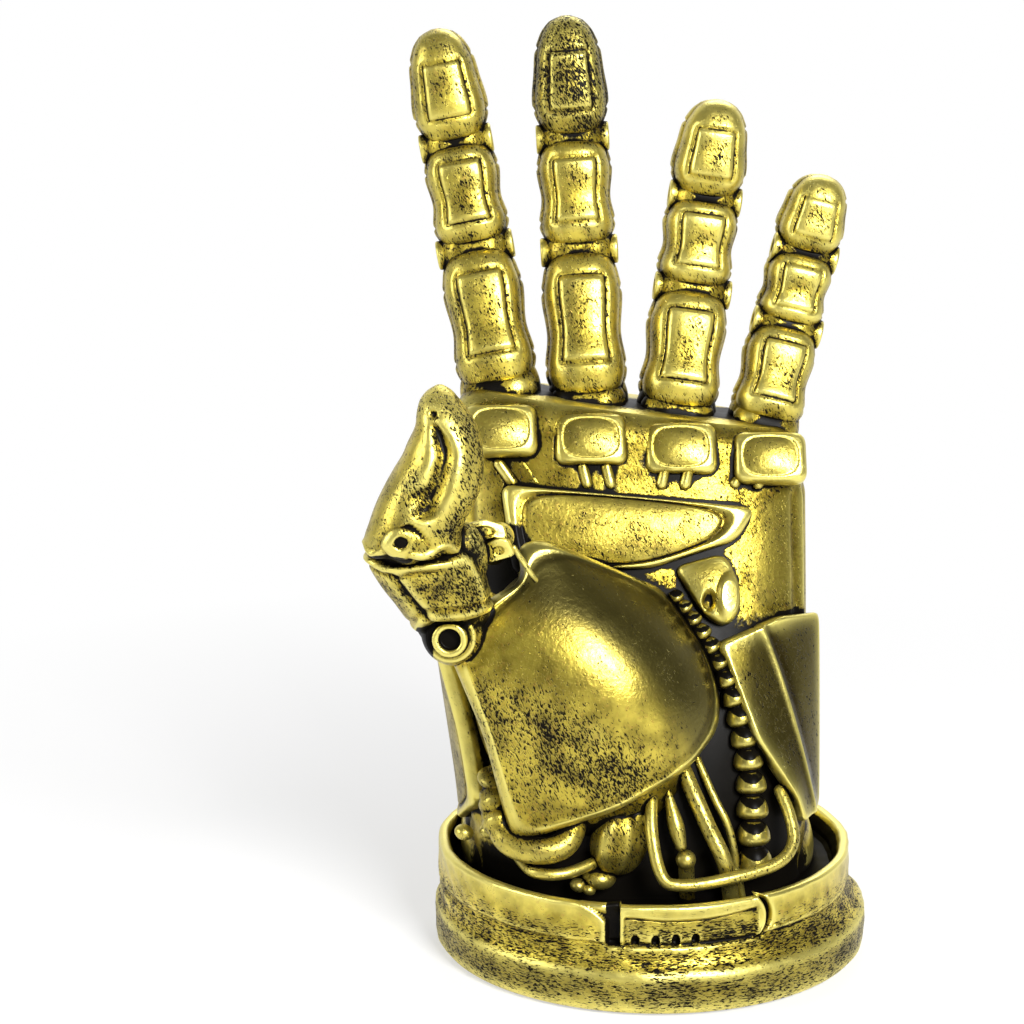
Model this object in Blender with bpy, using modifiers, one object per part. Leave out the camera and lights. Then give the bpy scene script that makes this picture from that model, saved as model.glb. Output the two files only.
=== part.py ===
"""Controller stand: a mechanical left hand rising from a round two-tier base, cast in one piece.

The palm faces -Y and the thumb stands at -X. The controller drops into the grip between the thumb
and the four fingers, and rests on the top of the domed guard over the heel of the thumb.
Each form is modelled closed and reaches well into its neighbours, so one union makes the casting.

Places on the hand are given on its core: per cent of the core's half width across from its centre
line, per cent of the hand's height up from the dish, and millimetres out from the core's skin.
"""

import math

import bmesh
import bpy
from mathutils import Matrix, Vector

MM = 0.001
TAU = 2.0 * math.pi
SMOOTH_LIMIT = math.radians(35.0)

# Base: a foot, and a collar round the dish that the wrist stands in.
FOOT_RADIUS = 34.0 * MM
FOOT_HEIGHT = 7.2 * MM
FOOT_ROUNDING = 1.8 * MM
SHOULDER_RISE = 1.6 * MM
COLLAR_STEP = 1.6 * MM
COLLAR_HEIGHT = 8.0 * MM
COLLAR_WALL = 2.5 * MM
COLLAR_ROUNDING = 0.55 * MM
COLLAR_TOP = 1.1 * MM
COLLAR_SLOPE = 2.4 * MM
COLLAR_SHIFT = -1.1 * MM
DISH_DEPTH = 3.8 * MM
BASE_STEPS = 36

# Broken band on the collar's front, between a slot and a seam, with a toothed lower edge.
BAND_DEPTH = 0.6 * MM
BAND_SLOT = 1.9 * MM
BAND_SEAM = 0.7 * MM
BAND_LENGTH = 23.0 * MM
BAND_START_DEG = -99.0
BAND_LIP = 2.0 * MM
BAND_RISE = 3.5 * MM
TOOTH_COUNT = 4
TOOTH_FIRST = 1.85 * MM
TOOTH_PITCH = 3.1 * MM
TOOTH_WIDTH = 1.3 * MM
TOOTH_HEIGHT = 1.4 * MM

# Core: the wrist and the palm, which leans back and thins as it rises.
HAND_HEIGHT = 71.0 * MM
WRIST_WIDTH = 53.0 * MM
WRIST_DEPTH = 44.0 * MM
WRIST_SHIFT = -2.0 * MM
WRIST_SETBACK = 2.5 * MM
PALM_WIDTH = 54.0 * MM
PALM_THICKNESS = 20.0 * MM
PALM_SHIFT = -3.5 * MM
PALM_LEAN = 8.5 * MM
KNUCKLE_SLOPE = -0.13
CORE_SQUARENESS = 2.8
CUFF_SWELL = 1.5 * MM

# Fingers, from the index. Each has three bones on hinge pins.
FINGER_PITCH = 13.8 * MM
INDEX_OFFSET = -20.2 * MM
FINGER_WIDTH = 11.6 * MM
FINGER_DEPTH = 11.0 * MM
FINGER_REACHES = (58.4 * MM, 61.5 * MM, 50.4 * MM, 41.0 * MM)
FINGER_FANS_DEG = (-10.5, -3.5, 8.0, 14.0)
FINGER_SIZES = (1.0, 1.0, 1.0, 0.9)
BONE_SHARES = (0.40, 0.29, 0.31)
BONE_SIZES = (1.0, 0.93, 0.87)
BONE_LEANS_DEG = (21.0, 13.0, 2.0)
SHELL_STEP = 0.5 * MM
PIN_BOSS_RADIUS = 2.3 * MM
PIN_HOLE_RADIUS = 1.1 * MM
PIN_BOSS_RISE = 0.7 * MM

# Thumb: two bones that stand in front of the palm.
THUMB_GRIP = 19.5 * MM
THUMB_WIDTH = 15.0 * MM
THUMB_DEPTH = 13.0 * MM
THUMB_TIP_LENGTH = 23.6 * MM
THUMB_LINK_LENGTH = 15.0 * MM
THUMB_LEAN = 10.0 * MM
THUMB_SWAY = 5.6 * MM
THUMB_PIN_RADIUS = 2.7 * MM
THUMB_PIN_HOLE = 1.5 * MM
GROOVE_RADIUS = 0.9 * MM

# Plates, cables and beads.
GUARD_BULGE = 8.5 * MM
GUARD_SINK = 7.5 * MM
PLATE_STEP = 1.6 * MM
PLATE_SINK = 4.5 * MM
PLATE_BULGE = 1.2 * MM
NOTCH_RADIUS = 1.5 * MM
CABLE_RADIUS = 1.6 * MM
THIN_CABLE_RADIUS = 0.9 * MM
LOOP_RADIUS = 0.95 * MM
BEAD_COUNT = 15
BEAD_FIRST = 1.15 * MM
BEAD_LAST = 2.7 * MM

RIM = FOOT_HEIGHT + SHOULDER_RISE + COLLAR_HEIGHT
FLOOR = RIM - DISH_DEPTH
COLLAR_RADIUS = FOOT_RADIUS - COLLAR_STEP
X_WAY = Vector((1.0, 0.0, 0.0))
Y_WAY = Vector((0.0, 1.0, 0.0))
Z_WAY = Vector((0.0, 0.0, 1.0))


def mm(*values):
    """A step given in millimetres, in metres."""
    return Vector([value * MM for value in values])


def start():
    """An empty scene with a collection for the stand, one for its forms and one for its cutters."""
    for thing in list(bpy.data.objects):
        bpy.data.objects.remove(thing, do_unlink=True)
    made = []
    for title in ("controller_stand", "forms", "cutters"):
        group = bpy.data.collections.new(title)
        bpy.context.scene.collection.children.link(group)
        made.append(group)
    return made


STAND, FORMS, CUTTERS = start()


def place(name, mesh, group):
    """Put a closed mesh in a group as a hidden wire form."""
    form = bpy.data.objects.new(name, mesh)
    group.objects.link(form)
    form.display_type = "WIRE"
    form.hide_render = True
    return form


def mesh_of(name, bm):
    """Make a mesh whose faces point out, smooth but for its sharp edges, from an edited one."""
    bmesh.ops.recalc_face_normals(bm, faces=bm.faces)
    mesh = bpy.data.meshes.new(name)
    bm.to_mesh(mesh)
    bm.free()
    mesh.shade_smooth()
    mesh.set_sharp_from_angle(angle=SMOOTH_LIMIT)
    return mesh


def turned(name, profile, centre=(0.0, 0.0, 0.0), axis=Z_WAY, steps=BASE_STEPS):
    """Turn a profile of (radius, height) points, outer side downwards, about an axis."""
    bm = bmesh.new()
    spots = [bm.verts.new((radius, 0.0, height)) for radius, height in profile]
    for first, second in zip(spots, spots[1:]):
        bm.edges.new((first, second))
    mesh = bpy.data.meshes.new(name)
    bm.to_mesh(mesh)
    bm.free()
    form = place(name, mesh, FORMS)
    form.rotation_mode = "QUATERNION"
    form.rotation_quaternion = Z_WAY.rotation_difference(Vector(axis))
    form.location = centre
    screw = form.modifiers.new("turn", "SCREW")
    screw.axis = "Z"
    screw.steps = steps
    screw.render_steps = steps
    screw.use_merge_vertices = True
    screw.merge_threshold = 0.00001
    return form


def loft(name, sections, points=12, group=FORMS):
    """Skin a row of squarish rings: centre, across, deep, half width, half depth, squareness."""
    bm = bmesh.new()
    rings = []
    for centre, across, deep, half_width, half_depth, squareness in sections:
        ring = []
        for step in range(points):
            turn = TAU * (step + 0.5) / points
            wide = math.copysign(abs(math.cos(turn)) ** (2.0 / squareness), math.cos(turn))
            thick = math.copysign(abs(math.sin(turn)) ** (2.0 / squareness), math.sin(turn))
            ring.append(bm.verts.new(centre + across * (half_width * wide) + deep * (half_depth * thick)))
        rings.append(ring)
    for lower, upper in zip(rings, rings[1:]):
        for step in range(points):
            after = (step + 1) % points
            bm.faces.new((lower[step], lower[after], upper[after], upper[step]))
    bm.faces.new(rings[0][::-1])
    bm.faces.new(rings[-1])
    return place(name, mesh_of(name, bm), group)


def ball(name, centre, half_sizes, axis=Z_WAY, segments=8, rings=5):
    """An ellipsoid whose third half size lies along the axis."""
    bm = bmesh.new()
    bmesh.ops.create_uvsphere(bm, u_segments=segments, v_segments=rings, radius=1.0)
    turn = Z_WAY.rotation_difference(Vector(axis)).to_matrix().to_4x4()
    size = Matrix.Diagonal((half_sizes[0], half_sizes[1], half_sizes[2], 1.0))
    bm.transform(Matrix.Translation(centre) @ turn @ size)
    return place(name, mesh_of(name, bm), FORMS)


def rod(name, start_at, end_at, radius, end_radius=None, sides=8, group=FORMS):
    """A straight pin, or a cone where its end radius differs, between two points."""
    run = end_at - start_at
    bm = bmesh.new()
    bmesh.ops.create_cone(bm, cap_ends=True, segments=sides, radius1=radius,
                          radius2=end_radius or radius, depth=run.length)
    turn = Z_WAY.rotation_difference(run).to_matrix().to_4x4()
    bm.transform(Matrix.Translation(start_at + run / 2.0) @ turn)
    return place(name, mesh_of(name, bm), group)


def tube(name, route, radius, sides=6, smoothness=2, group=FORMS):
    """A capped tube along a smooth curve through the route's points, made a mesh."""
    data = bpy.data.curves.new(name, "CURVE")
    data.dimensions = "3D"
    data.bevel_depth = radius
    data.bevel_resolution = sides // 2 - 2
    data.use_fill_caps = True
    data.resolution_u = smoothness
    spline = data.splines.new("BEZIER")
    spline.bezier_points.add(len(route) - 1)
    for knot, spot in zip(spline.bezier_points, route):
        knot.co = spot
        knot.handle_left_type = "AUTO"
        knot.handle_right_type = "AUTO"
    bent = bpy.data.objects.new(name, data)
    bpy.context.scene.collection.objects.link(bent)
    bpy.context.view_layer.update()
    view = bpy.context.evaluated_depsgraph_get()
    mesh = bpy.data.meshes.new_from_object(bent.evaluated_get(view))
    stay = bent.matrix_world.copy()
    bpy.data.objects.remove(bent, do_unlink=True)
    bm = bmesh.new()
    bm.from_mesh(mesh)
    bmesh.ops.remove_doubles(bm, verts=bm.verts, dist=0.000005)
    form = place(name, mesh_of(name, bm), group)
    form.matrix_world = stay
    return form


def rounded(corners, radius, arc_steps=2):
    """A closed outline through corners, each rounded off by a quadratic arc."""
    outline = []
    count = len(corners)
    for index in range(count):
        here = corners[index]
        to_last = corners[index - 1] - here
        to_next = corners[(index + 1) % count] - here
        enter = here + to_last.normalized() * min(radius, to_last.length * 0.45)
        leave = here + to_next.normalized() * min(radius, to_next.length * 0.45)
        for step in range(arc_steps + 1):
            share = step / arc_steps
            rest = 1.0 - share
            outline.append(enter * rest ** 2 + here * (2.0 * share * rest) + leave * share ** 2)
    return outline


def plate(name, corners, outward, bulge=PLATE_BULGE, sink=PLATE_SINK, rounding=2.0 * MM, loops=(0.6, 1.0)):
    """A domed plate over an outline: its face rises by `bulge`, its body sinks by `sink` behind."""
    outline = rounded(corners, rounding)
    middle = sum(outline, Vector()) / len(outline)
    normal = Vector()
    for first, second in zip(outline, outline[1:] + outline[:1]):
        normal += (first - middle).cross(second - middle)
    normal.normalize()
    if normal.dot(Vector(outward)) < 0.0:
        normal.negate()
    bm = bmesh.new()
    rings = []
    for share in loops:
        lift = bulge * (1.0 - share ** 2)
        rings.append([bm.verts.new(middle + (spot - middle) * share + normal * lift) for spot in outline])
    rings.append([bm.verts.new(spot - normal * PLATE_STEP) for spot in outline])
    inner = [middle + (spot - middle) * 0.86 - normal * sink for spot in outline]
    rings.append([bm.verts.new(spot) for spot in inner])
    top = bm.verts.new(middle + normal * bulge)
    low = bm.verts.new(middle - normal * sink)
    count = len(outline)
    for index in range(count):
        after = (index + 1) % count
        bm.faces.new((top, rings[0][index], rings[0][after]))
        bm.faces.new((low, rings[-1][after], rings[-1][index]))
        for upper, lower in zip(rings, rings[1:]):
            bm.faces.new((upper[index], lower[index], lower[after], upper[after]))
    return place(name, mesh_of(name, bm), FORMS)


def core_at(up):
    """Centre x, centre y, half width and half depth of the core at a share of the hand's height."""
    share = max(0.0, min(1.0, up))
    ease = share * share * (3.0 - 2.0 * share)
    centre_x = WRIST_SHIFT + (PALM_SHIFT - WRIST_SHIFT) * share
    centre_y = WRIST_SETBACK + PALM_LEAN * share ** 1.5
    half_width = (WRIST_WIDTH + (PALM_WIDTH - WRIST_WIDTH) * ease) / 2.0
    half_depth = (WRIST_DEPTH + (PALM_THICKNESS - WRIST_DEPTH) * ease) / 2.0
    return centre_x, centre_y, half_width, half_depth


def spot_on(across, up, out, side, curved=False):
    """A point off the core: per cent across, per cent up, millimetres out in front (-1) or behind (1)."""
    share = across / 100.0
    centre_x, centre_y, half_width, half_depth = core_at(up / 100.0)
    if curved:
        half_depth *= (1.0 - min(0.98, abs(share)) ** CORE_SQUARENESS) ** (1.0 / CORE_SQUARENESS)
    return Vector((centre_x + half_width * share, centre_y + side * (half_depth + out * MM),
                   FLOOR + HAND_HEIGHT * up / 100.0))


def ahead(across, up, out):
    """A point in front of the core's foremost line."""
    return spot_on(across, up, out, -1.0)


def on_skin(across, up, out):
    """A point in front of the core's curved skin."""
    return spot_on(across, up, out, -1.0, curved=True)


def behind(across, up, out):
    """A point behind the core's rearmost line."""
    return spot_on(across, up, out, 1.0)


def beside(deep, up, out):
    """A point out from the core's thumb side, per cent of its half depth behind its centre line."""
    centre_x, centre_y, half_width, half_depth = core_at(up / 100.0)
    return Vector((centre_x - half_width - out * MM, centre_y + half_depth * deep / 100.0,
                   FLOOR + HAND_HEIGHT * up / 100.0))


def base():
    """The foot, the collar, whose lower part slopes out to the foot, and the dish floor inside it."""
    quarter = [math.radians(turn) for turn in (0.0, 45.0, 90.0)]
    shoulder = FOOT_HEIGHT + SHOULDER_RISE
    inner = COLLAR_RADIUS - COLLAR_WALL
    lip = COLLAR_ROUNDING
    low = FOOT_HEIGHT + BAND_RISE
    foot = [(0.0, shoulder), (inner, shoulder)]
    foot += [(FOOT_RADIUS - 1.4 * lip, FOOT_HEIGHT + 0.2 * lip), (FOOT_RADIUS, FOOT_HEIGHT - 1.6 * lip)]
    foot += [(FOOT_RADIUS - FOOT_ROUNDING * (1.0 - math.cos(turn)), FOOT_ROUNDING * (1.0 - math.sin(turn)))
             for turn in quarter]
    foot += [(0.0, 0.0)]
    turned("foot", foot)
    collar = [(0.0, FLOOR), (inner - lip, FLOOR), (inner, FLOOR + lip), (inner, RIM - COLLAR_SLOPE)]
    collar += [(COLLAR_RADIUS - COLLAR_TOP - 0.6 * lip, RIM - 0.6 * lip), (COLLAR_RADIUS - COLLAR_TOP, RIM)]
    collar += [(COLLAR_RADIUS - lip * (1.0 - math.sin(turn)), RIM - lip * (1.0 - math.cos(turn)))
               for turn in quarter]
    collar += [(COLLAR_RADIUS, low + 0.7 * lip), (COLLAR_RADIUS - 0.7 * lip, low - 0.3 * lip)]
    collar += [(COLLAR_RADIUS + 0.9 * lip, FOOT_HEIGHT + 0.5 * lip), (0.0, FOOT_HEIGHT / 2.0)]
    turned("collar", collar, centre=(COLLAR_SHIFT, 0.0, 0.0))


def collar_cut(name, begin, end, depth, bottom, top):
    """A bent block let into the collar's front between two lengths along its edge."""
    sections = []
    reach = 3.0 * MM
    diagonal = math.sqrt(2.0)
    pieces = max(1, round((end - begin) / reach))
    for step in range(pieces + 1):
        length = begin + (end - begin) * step / pieces
        turn = math.radians(BAND_START_DEG) + length / COLLAR_RADIUS
        out = Vector((math.cos(turn), math.sin(turn), 0.0))
        centre = X_WAY * COLLAR_SHIFT + Z_WAY * ((bottom + top) / 2.0) + out * (COLLAR_RADIUS - depth + reach)
        sections.append((centre, out, Z_WAY, reach * diagonal, (top - bottom) / 2.0 * diagonal, 2.0))
    loft(name, sections, points=4, group=CUTTERS)


def band():
    """The recess, slot, seam and teeth that break the collar's front."""
    low = FOOT_HEIGHT + BAND_RISE
    lap = BAND_SEAM / 3.0
    over = RIM + COLLAR_ROUNDING
    collar_cut("band_cut", lap, BAND_LENGTH - lap, BAND_DEPTH, low, RIM - BAND_LIP)
    collar_cut("slot_cut", -BAND_SLOT, BAND_SLOT * 0.45, BAND_DEPTH * 2.6, low - lap, over)
    collar_cut("seam_cut", BAND_LENGTH - 2.0 * lap, BAND_LENGTH + lap, BAND_DEPTH * 2.4, low - 1.5 * lap, over)
    for index in range(TOOTH_COUNT):
        begin = TOOTH_FIRST + index * TOOTH_PITCH
        collar_cut(f"tooth_cut_{index}", begin, begin + TOOTH_WIDTH, BAND_DEPTH * 2.0, low - 1.8 * lap,
                   low + TOOTH_HEIGHT)


def core():
    """The wrist and palm, whose top slopes down towards the little finger and closes in."""
    sections = []
    for up, wide, deep in ((-0.06, 1.0, 1.0), (0.1, 1.0, 1.0), (0.25, 1.0, 1.0), (0.4, 1.0, 1.0),
                           (0.55, 1.0, 1.0), (0.7, 1.0, 1.0), (0.84, 1.0, 1.0), (0.94, 1.0, 0.9),
                           (1.0, 0.94, 0.62)):
        centre_x, centre_y, half_width, half_depth = core_at(up)
        across = Vector((1.0, 0.0, KNUCKLE_SLOPE * max(0.0, up) ** 2))
        centre = Vector((centre_x, centre_y, FLOOR + HAND_HEIGHT * up))
        sections.append((centre, across, Y_WAY, half_width * wide, half_depth * deep, CORE_SQUARENESS))
    loft("core", sections, points=20)


def cuff():
    """The low ring round the wrist's sides and back."""
    sections = []
    for up, swell in ((-0.02, 0.1), (0.01, 0.9), (0.05, 1.0), (0.07, 0.1)):
        centre_x, centre_y, half_width, half_depth = core_at(up)
        centre = Vector((centre_x, centre_y + CUFF_SWELL * 1.6, FLOOR + HAND_HEIGHT * up))
        grow = CUFF_SWELL * swell
        sections.append((centre, X_WAY, Y_WAY, half_width + grow, half_depth + grow - CUFF_SWELL,
                         CORE_SQUARENESS))
    loft("cuff", sections, points=20)


def pin(name, centre, axis, radius, hole, rise, steps=8):
    """A pin boss that stands `rise` out of a surface, with a dimple in its face."""
    root = -2.0 * rise - hole / 2.0
    low = -0.6 * rise
    profile = [(0.0, low), (hole, low), (hole, rise), (radius, rise), (radius, root), (0.0, root)]
    turned(name, profile, centre=centre, axis=axis, steps=steps)


# Share of a bone's length, and the bone's fullness there.
BONE = ((0.03, 0.70), (0.14, 0.96), (0.80, 0.98), (0.97, 0.66))
FINGERTIP = ((0.03, 0.70), (0.14, 0.96), (0.55, 1.0), (0.80, 0.82), (0.93, 0.55), (0.99, 0.22))


def finger(index):
    """One finger: three bones with back shells, hinge barrels and pin bosses."""
    centre_x, centre_y, _, _ = core_at(1.0)
    offset = INDEX_OFFSET + index * FINGER_PITCH
    size = FINGER_SIZES[index]
    root = Vector((centre_x + offset, centre_y, FLOOR + HAND_HEIGHT - 1.0 * MM + KNUCKLE_SLOPE * offset))
    fan = math.radians(FINGER_FANS_DEG[index])
    across = Vector((math.cos(fan), 0.0, -math.sin(fan)))
    upward = Vector((math.sin(fan), 0.0, math.cos(fan)))
    ball(f"knuckle_{index}", root + Y_WAY * (FINGER_DEPTH * 0.25),
         (FINGER_WIDTH * 0.55 * size, FINGER_DEPTH * 0.55, FINGER_DEPTH * 0.62))
    at = root
    for number in range(3):
        name = f"finger_{index}_{number}"
        lean = math.radians(BONE_LEANS_DEG[number])
        along = upward * math.cos(lean) + Y_WAY * math.sin(lean)
        rear = Y_WAY * math.cos(lean) - upward * math.sin(lean)
        length = FINGER_REACHES[index] * BONE_SHARES[number]
        half_width = FINGER_WIDTH / 2.0 * BONE_SIZES[number] * size
        half_depth = FINGER_DEPTH / 2.0 * BONE_SIZES[number] * size
        bone = []
        shell = []
        for share, full in FINGERTIP if number == 2 else BONE:
            centre = at + along * (length * share)
            bone.append((centre, across, rear, half_width * full, half_depth * full, 2.6))
            cover = centre + rear * (half_depth * 0.42 * full) + along * SHELL_STEP
            shell.append((cover, across, rear, (half_width + SHELL_STEP) * full,
                          half_depth * 0.62 * full + SHELL_STEP, 2.4))
        loft(name, bone, points=10)
        loft(name + "_shell", shell, points=10)
        rod(name + "_barrel", at - across * half_width, at + across * half_width, half_depth * 0.78)
        if number:
            for side, label in ((-1.0, "left"), (1.0, "right")):
                pin(f"{name}_pin_{label}", at + across * (side * half_width), across * side,
                    PIN_BOSS_RADIUS, PIN_HOLE_RADIUS, PIN_BOSS_RISE)
        at = at + along * length


def thumb_bone(name, foot, length, rows):
    """A thumb bone: share of its length, sway and lean in millimetres, width share, depth share."""
    sections = []
    for share, sway, lean, wide, deep in rows:
        centre = foot + mm(sway, lean, 0.0) + Z_WAY * (length * share)
        sections.append((centre, X_WAY, Y_WAY, THUMB_WIDTH / 2.0 * wide, THUMB_DEPTH / 2.0 * deep, 2.3))
    loft(name, sections, points=12)


def thumb():
    """The two thumb bones, their pins and grooves, and the knuckle that ties them to the palm."""
    pin_face = ahead(-102.0, 61.2, THUMB_GRIP / MM)
    knuckle = pin_face + Y_WAY * (THUMB_DEPTH * 0.4)
    foot = knuckle + mm(-1.2, -0.4, 1.6)
    joint = foot + Vector((-THUMB_SWAY, -THUMB_LEAN, THUMB_LINK_LENGTH)) + mm(0.0, 0.0, -0.4)
    lean = THUMB_LEAN / MM
    thumb_bone("thumb_link", foot, THUMB_LINK_LENGTH, (
        (-0.03, 0.2, 0.0, 0.72, 0.74), (0.09, 0.0, -0.10 * lean, 0.86, 0.88),
        (0.34, -1.2, -0.32 * lean, 1.01, 0.94), (0.70, -3.2, -0.63 * lean, 1.08, 0.95),
        (0.82, -3.8, -0.74 * lean, 1.02, 0.90), (0.88, -4.0, -0.78 * lean, 0.88, 0.72)))
    thumb_bone("thumb_tip", joint, THUMB_TIP_LENGTH, (
        (-0.05, 1.1, 0.0, 0.72, 0.72), (0.0, 1.0, 0.0, 0.90, 0.90), (0.12, 1.6, 0.0, 0.91, 1.0),
        (0.32, 3.7, 0.2, 0.93, 1.0), (0.50, 5.2, 0.5, 0.81, 0.93), (0.66, 5.8, 0.9, 0.65, 0.81),
        (0.80, 5.3, 1.4, 0.48, 0.66), (0.90, 4.9, 1.75, 0.27, 0.38), (0.945, 4.9, 1.95, 0.08, 0.12)))
    hinge = joint + mm(0.4, 0.0, 0.6)
    rod("thumb_hinge", hinge + Y_WAY * (THUMB_DEPTH * 0.39), hinge - Y_WAY * (THUMB_DEPTH * 0.4),
        THUMB_WIDTH * 0.24, sides=10)
    pin("thumb_hinge_pin", joint + Vector((0.0, -THUMB_DEPTH * 0.46, 0.0)) + mm(-0.4, 0.0, 2.2),
        (-0.1, -1.0, 0.0), THUMB_PIN_RADIUS * 0.75, THUMB_PIN_HOLE * 0.6, PIN_BOSS_RISE, steps=10)
    ball("thumb_knuckle", knuckle + mm(-0.2, 1.4, -0.6),
         (THUMB_WIDTH * 0.33, THUMB_DEPTH * 0.45, THUMB_WIDTH * 0.34), segments=10, rings=6)
    pin("thumb_knuckle_pin", pin_face, (-0.08, -1.0, 0.1), THUMB_PIN_RADIUS, THUMB_PIN_HOLE,
        PIN_BOSS_RISE * 1.4, steps=10)
    ball("thumb_back", knuckle + mm(-3.2, 3.4, 2.4), mm(3.6, 4.2, 6.8), axis=(-0.25, 0.0, 1.0))
    ball("thumb_cheek", foot + mm(2.9, -5.2, 11.0), mm(3.1, 3.8, 5.6), axis=(-0.12, -0.35, 1.0))
    root = []
    for share, deep, tall in ((0.0, 0.69, 0.70), (0.35, 0.56, 0.60), (0.7, 0.40, 0.44), (1.0, 0.32, 0.34)):
        centre = ahead(-46.0, 49.3, 4.4).lerp(knuckle + mm(0.6, 2.6, -1.5), share)
        root.append((centre, Y_WAY, Z_WAY, THUMB_DEPTH * deep, THUMB_WIDTH * tall, 2.2))
    loft("thumb_root", root, points=12)
    bracket(foot)
    face = joint - Y_WAY * (THUMB_DEPTH / 2.0)
    tube("thumb_valley", [face + mm(sway_at, depth, 0.0) + Z_WAY * (THUMB_TIP_LENGTH * share)
                          for sway_at, depth, share in ((2.9, -0.4, 0.20), (4.7, 0.3, 0.40), (5.7, 1.3, 0.58),
                                                        (4.9, 2.3, 0.70), (4.2, 2.9, 0.78))],
         GROOVE_RADIUS, smoothness=1, group=CUTTERS)
    tip = face + mm(3.9, 0.0, 0.0) + Z_WAY * (THUMB_TIP_LENGTH * 0.81)
    rod("thumb_tip_hole", tip - Y_WAY * GROOVE_RADIUS, tip + Y_WAY * (5.0 * GROOVE_RADIUS),
        GROOVE_RADIUS * 0.67, group=CUTTERS)
    front = foot - Y_WAY * (THUMB_DEPTH / 2.0)
    tube("thumb_link_groove", [front + Vector((x, -THUMB_LEAN * y, THUMB_LINK_LENGTH * z))
                               for x, y, z in ((-4.6 * MM, 0.66, 0.74), (-3.7 * MM, 0.41, 0.45),
                                               (-3.1 * MM, 0.17, 0.18))],
         GROOVE_RADIUS * 0.67, smoothness=1, group=CUTTERS)


def bracket(foot):
    """The bracket beside the thumb's link: an upper block, a lug and the rods that carry them."""
    diagonal = math.sqrt(2.0)
    block = [(foot + mm(5.9, -2.4, 14.0), 4.0 * diagonal), (foot + mm(5.9, 4.5, 13.0), 3.0 * diagonal)]
    loft("bracket_block", [(centre, X_WAY, Z_WAY, half * MM, CABLE_RADIUS * diagonal, 2.0)
                           for centre, half in block], points=4)
    lug = foot + mm(7.6, -3.6, 11.7)
    rod("bracket_lug", lug, lug + Y_WAY * (THUMB_DEPTH / 2.0), CABLE_RADIUS * 1.3, sides=6)
    rod("bracket_strut", foot + mm(8.8, -1.5, 13.2), foot + mm(13.4, 0.2, 5.6), THIN_CABLE_RADIUS * 1.1, sides=6)
    rod("bracket_arm", foot + mm(7.6, 0.0, 12.4), foot + mm(6.6, 13.5, 6.5), CABLE_RADIUS * 1.5, sides=6)


def guard():
    """The domed plate over the heel of the thumb, and the bulk behind it."""
    corners = [ahead(*row) for row in (
        (-106, 59.2, 15.5), (-86, 39.4, 11.2), (-72, 14.9, 5.2), (-13, 23.4, 8.5), (27, 30.7, 6.5),
        (45, 37.2, 3.2), (47, 43.7, 1.7), (39, 53.0, 1.6), (17, 64.5, 1.3), (-50, 78.3, 12.1),
        (-65, 77.5, 12.7), (-62, 70.4, 13.3), (-81, 67.6, 14.5))]
    plate("guard", corners, (0.0, -1.0, 0.0), bulge=GUARD_BULGE, sink=GUARD_SINK, rounding=PLATE_STEP,
          loops=(0.4, 0.75, 1.0))
    ball("heel", ahead(-30, 40.8, -2.7), mm(17.0, 15.5, 22.0), axis=(-0.28, 0.1, 1.0), segments=12, rings=6)


def side_plates():
    """The plate round the wrist's thumb side with its notch, the panel on the other side and its block."""
    left = [beside(*row) for row in (
        (-100, 52.8, 4.0), (-80, 33.8, 0.6), (-74, 18.0, -0.9), (-12, 8.5, 1.9), (52, 9.2, 0.8),
        (55, 31.0, 1.4), (60, 52.1, 3.2), (-10, 55.6, 5.0))]
    plate("left_plate", left, (-1.0, 0.0, 0.0), sink=PLATE_SINK + 0.7 * MM, rounding=2.5 * MM)
    rod("left_notch", beside(-95, 23.2, 2.0), beside(-60, 26.8, -3.5), NOTCH_RADIUS, sides=10, group=CUTTERS)
    panel = [ahead(*row) for row in (
        (48.1, 54.2, 3.0), (67.5, 35.0, 1.9), (91, 21.5, -1.2), (95, 16.1, -2.0), (106, 15.5, -12.0),
        (107, 56.3, -10.1), (85, 58.5, -1.4))]
    plate("right_panel", panel, (0.6, -1.0, 0.1), bulge=0.5 * MM, rounding=1.2 * MM)
    block = [ahead(*row) for row in (
        (22, 69.4, 1.4), (38, 60.3, 2.4), (50, 57.8, 2.2), (58, 60.0, 1.8), (59, 66.0, 1.3), (51, 72.0, 0.9))]
    plate("palm_block", block, (0.0, -1.0, 0.0), sink=PLATE_SINK + 1.2 * MM)


def palm_pads():
    """A centre plate on the palm and one pad below each finger."""
    palm = [ahead(*row) for row in (
        (-69, 67.6, 1.3), (9, 69.0, 1.3), (58, 74.6, 0.8), (69, 81.0, 0.4), (-75, 85.9, 0.7))]
    plate("palm_plate", palm, (0.0, -1.0, 0.0))
    for index in range(4):
        offset = INDEX_OFFSET + index * FINGER_PITCH
        half = FINGER_WIDTH / 2.0 * 0.95
        drop = Z_WAY * (KNUCKLE_SLOPE * offset * 0.8)
        pad = []
        for edge, up, out in ((-half, 89.4, 0.9), (half, 89.4, 0.9), (half, 99.3, -1.2), (-half, 99.3, -1.2)):
            pad.append(ahead(0.0, up, out) + X_WAY * (offset + edge) + drop)
        plate(f"palm_pad_{index}", pad, (0.0, -1.0, 0.0), sink=PLATE_SINK * 0.7, loops=(1.0,))


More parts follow.
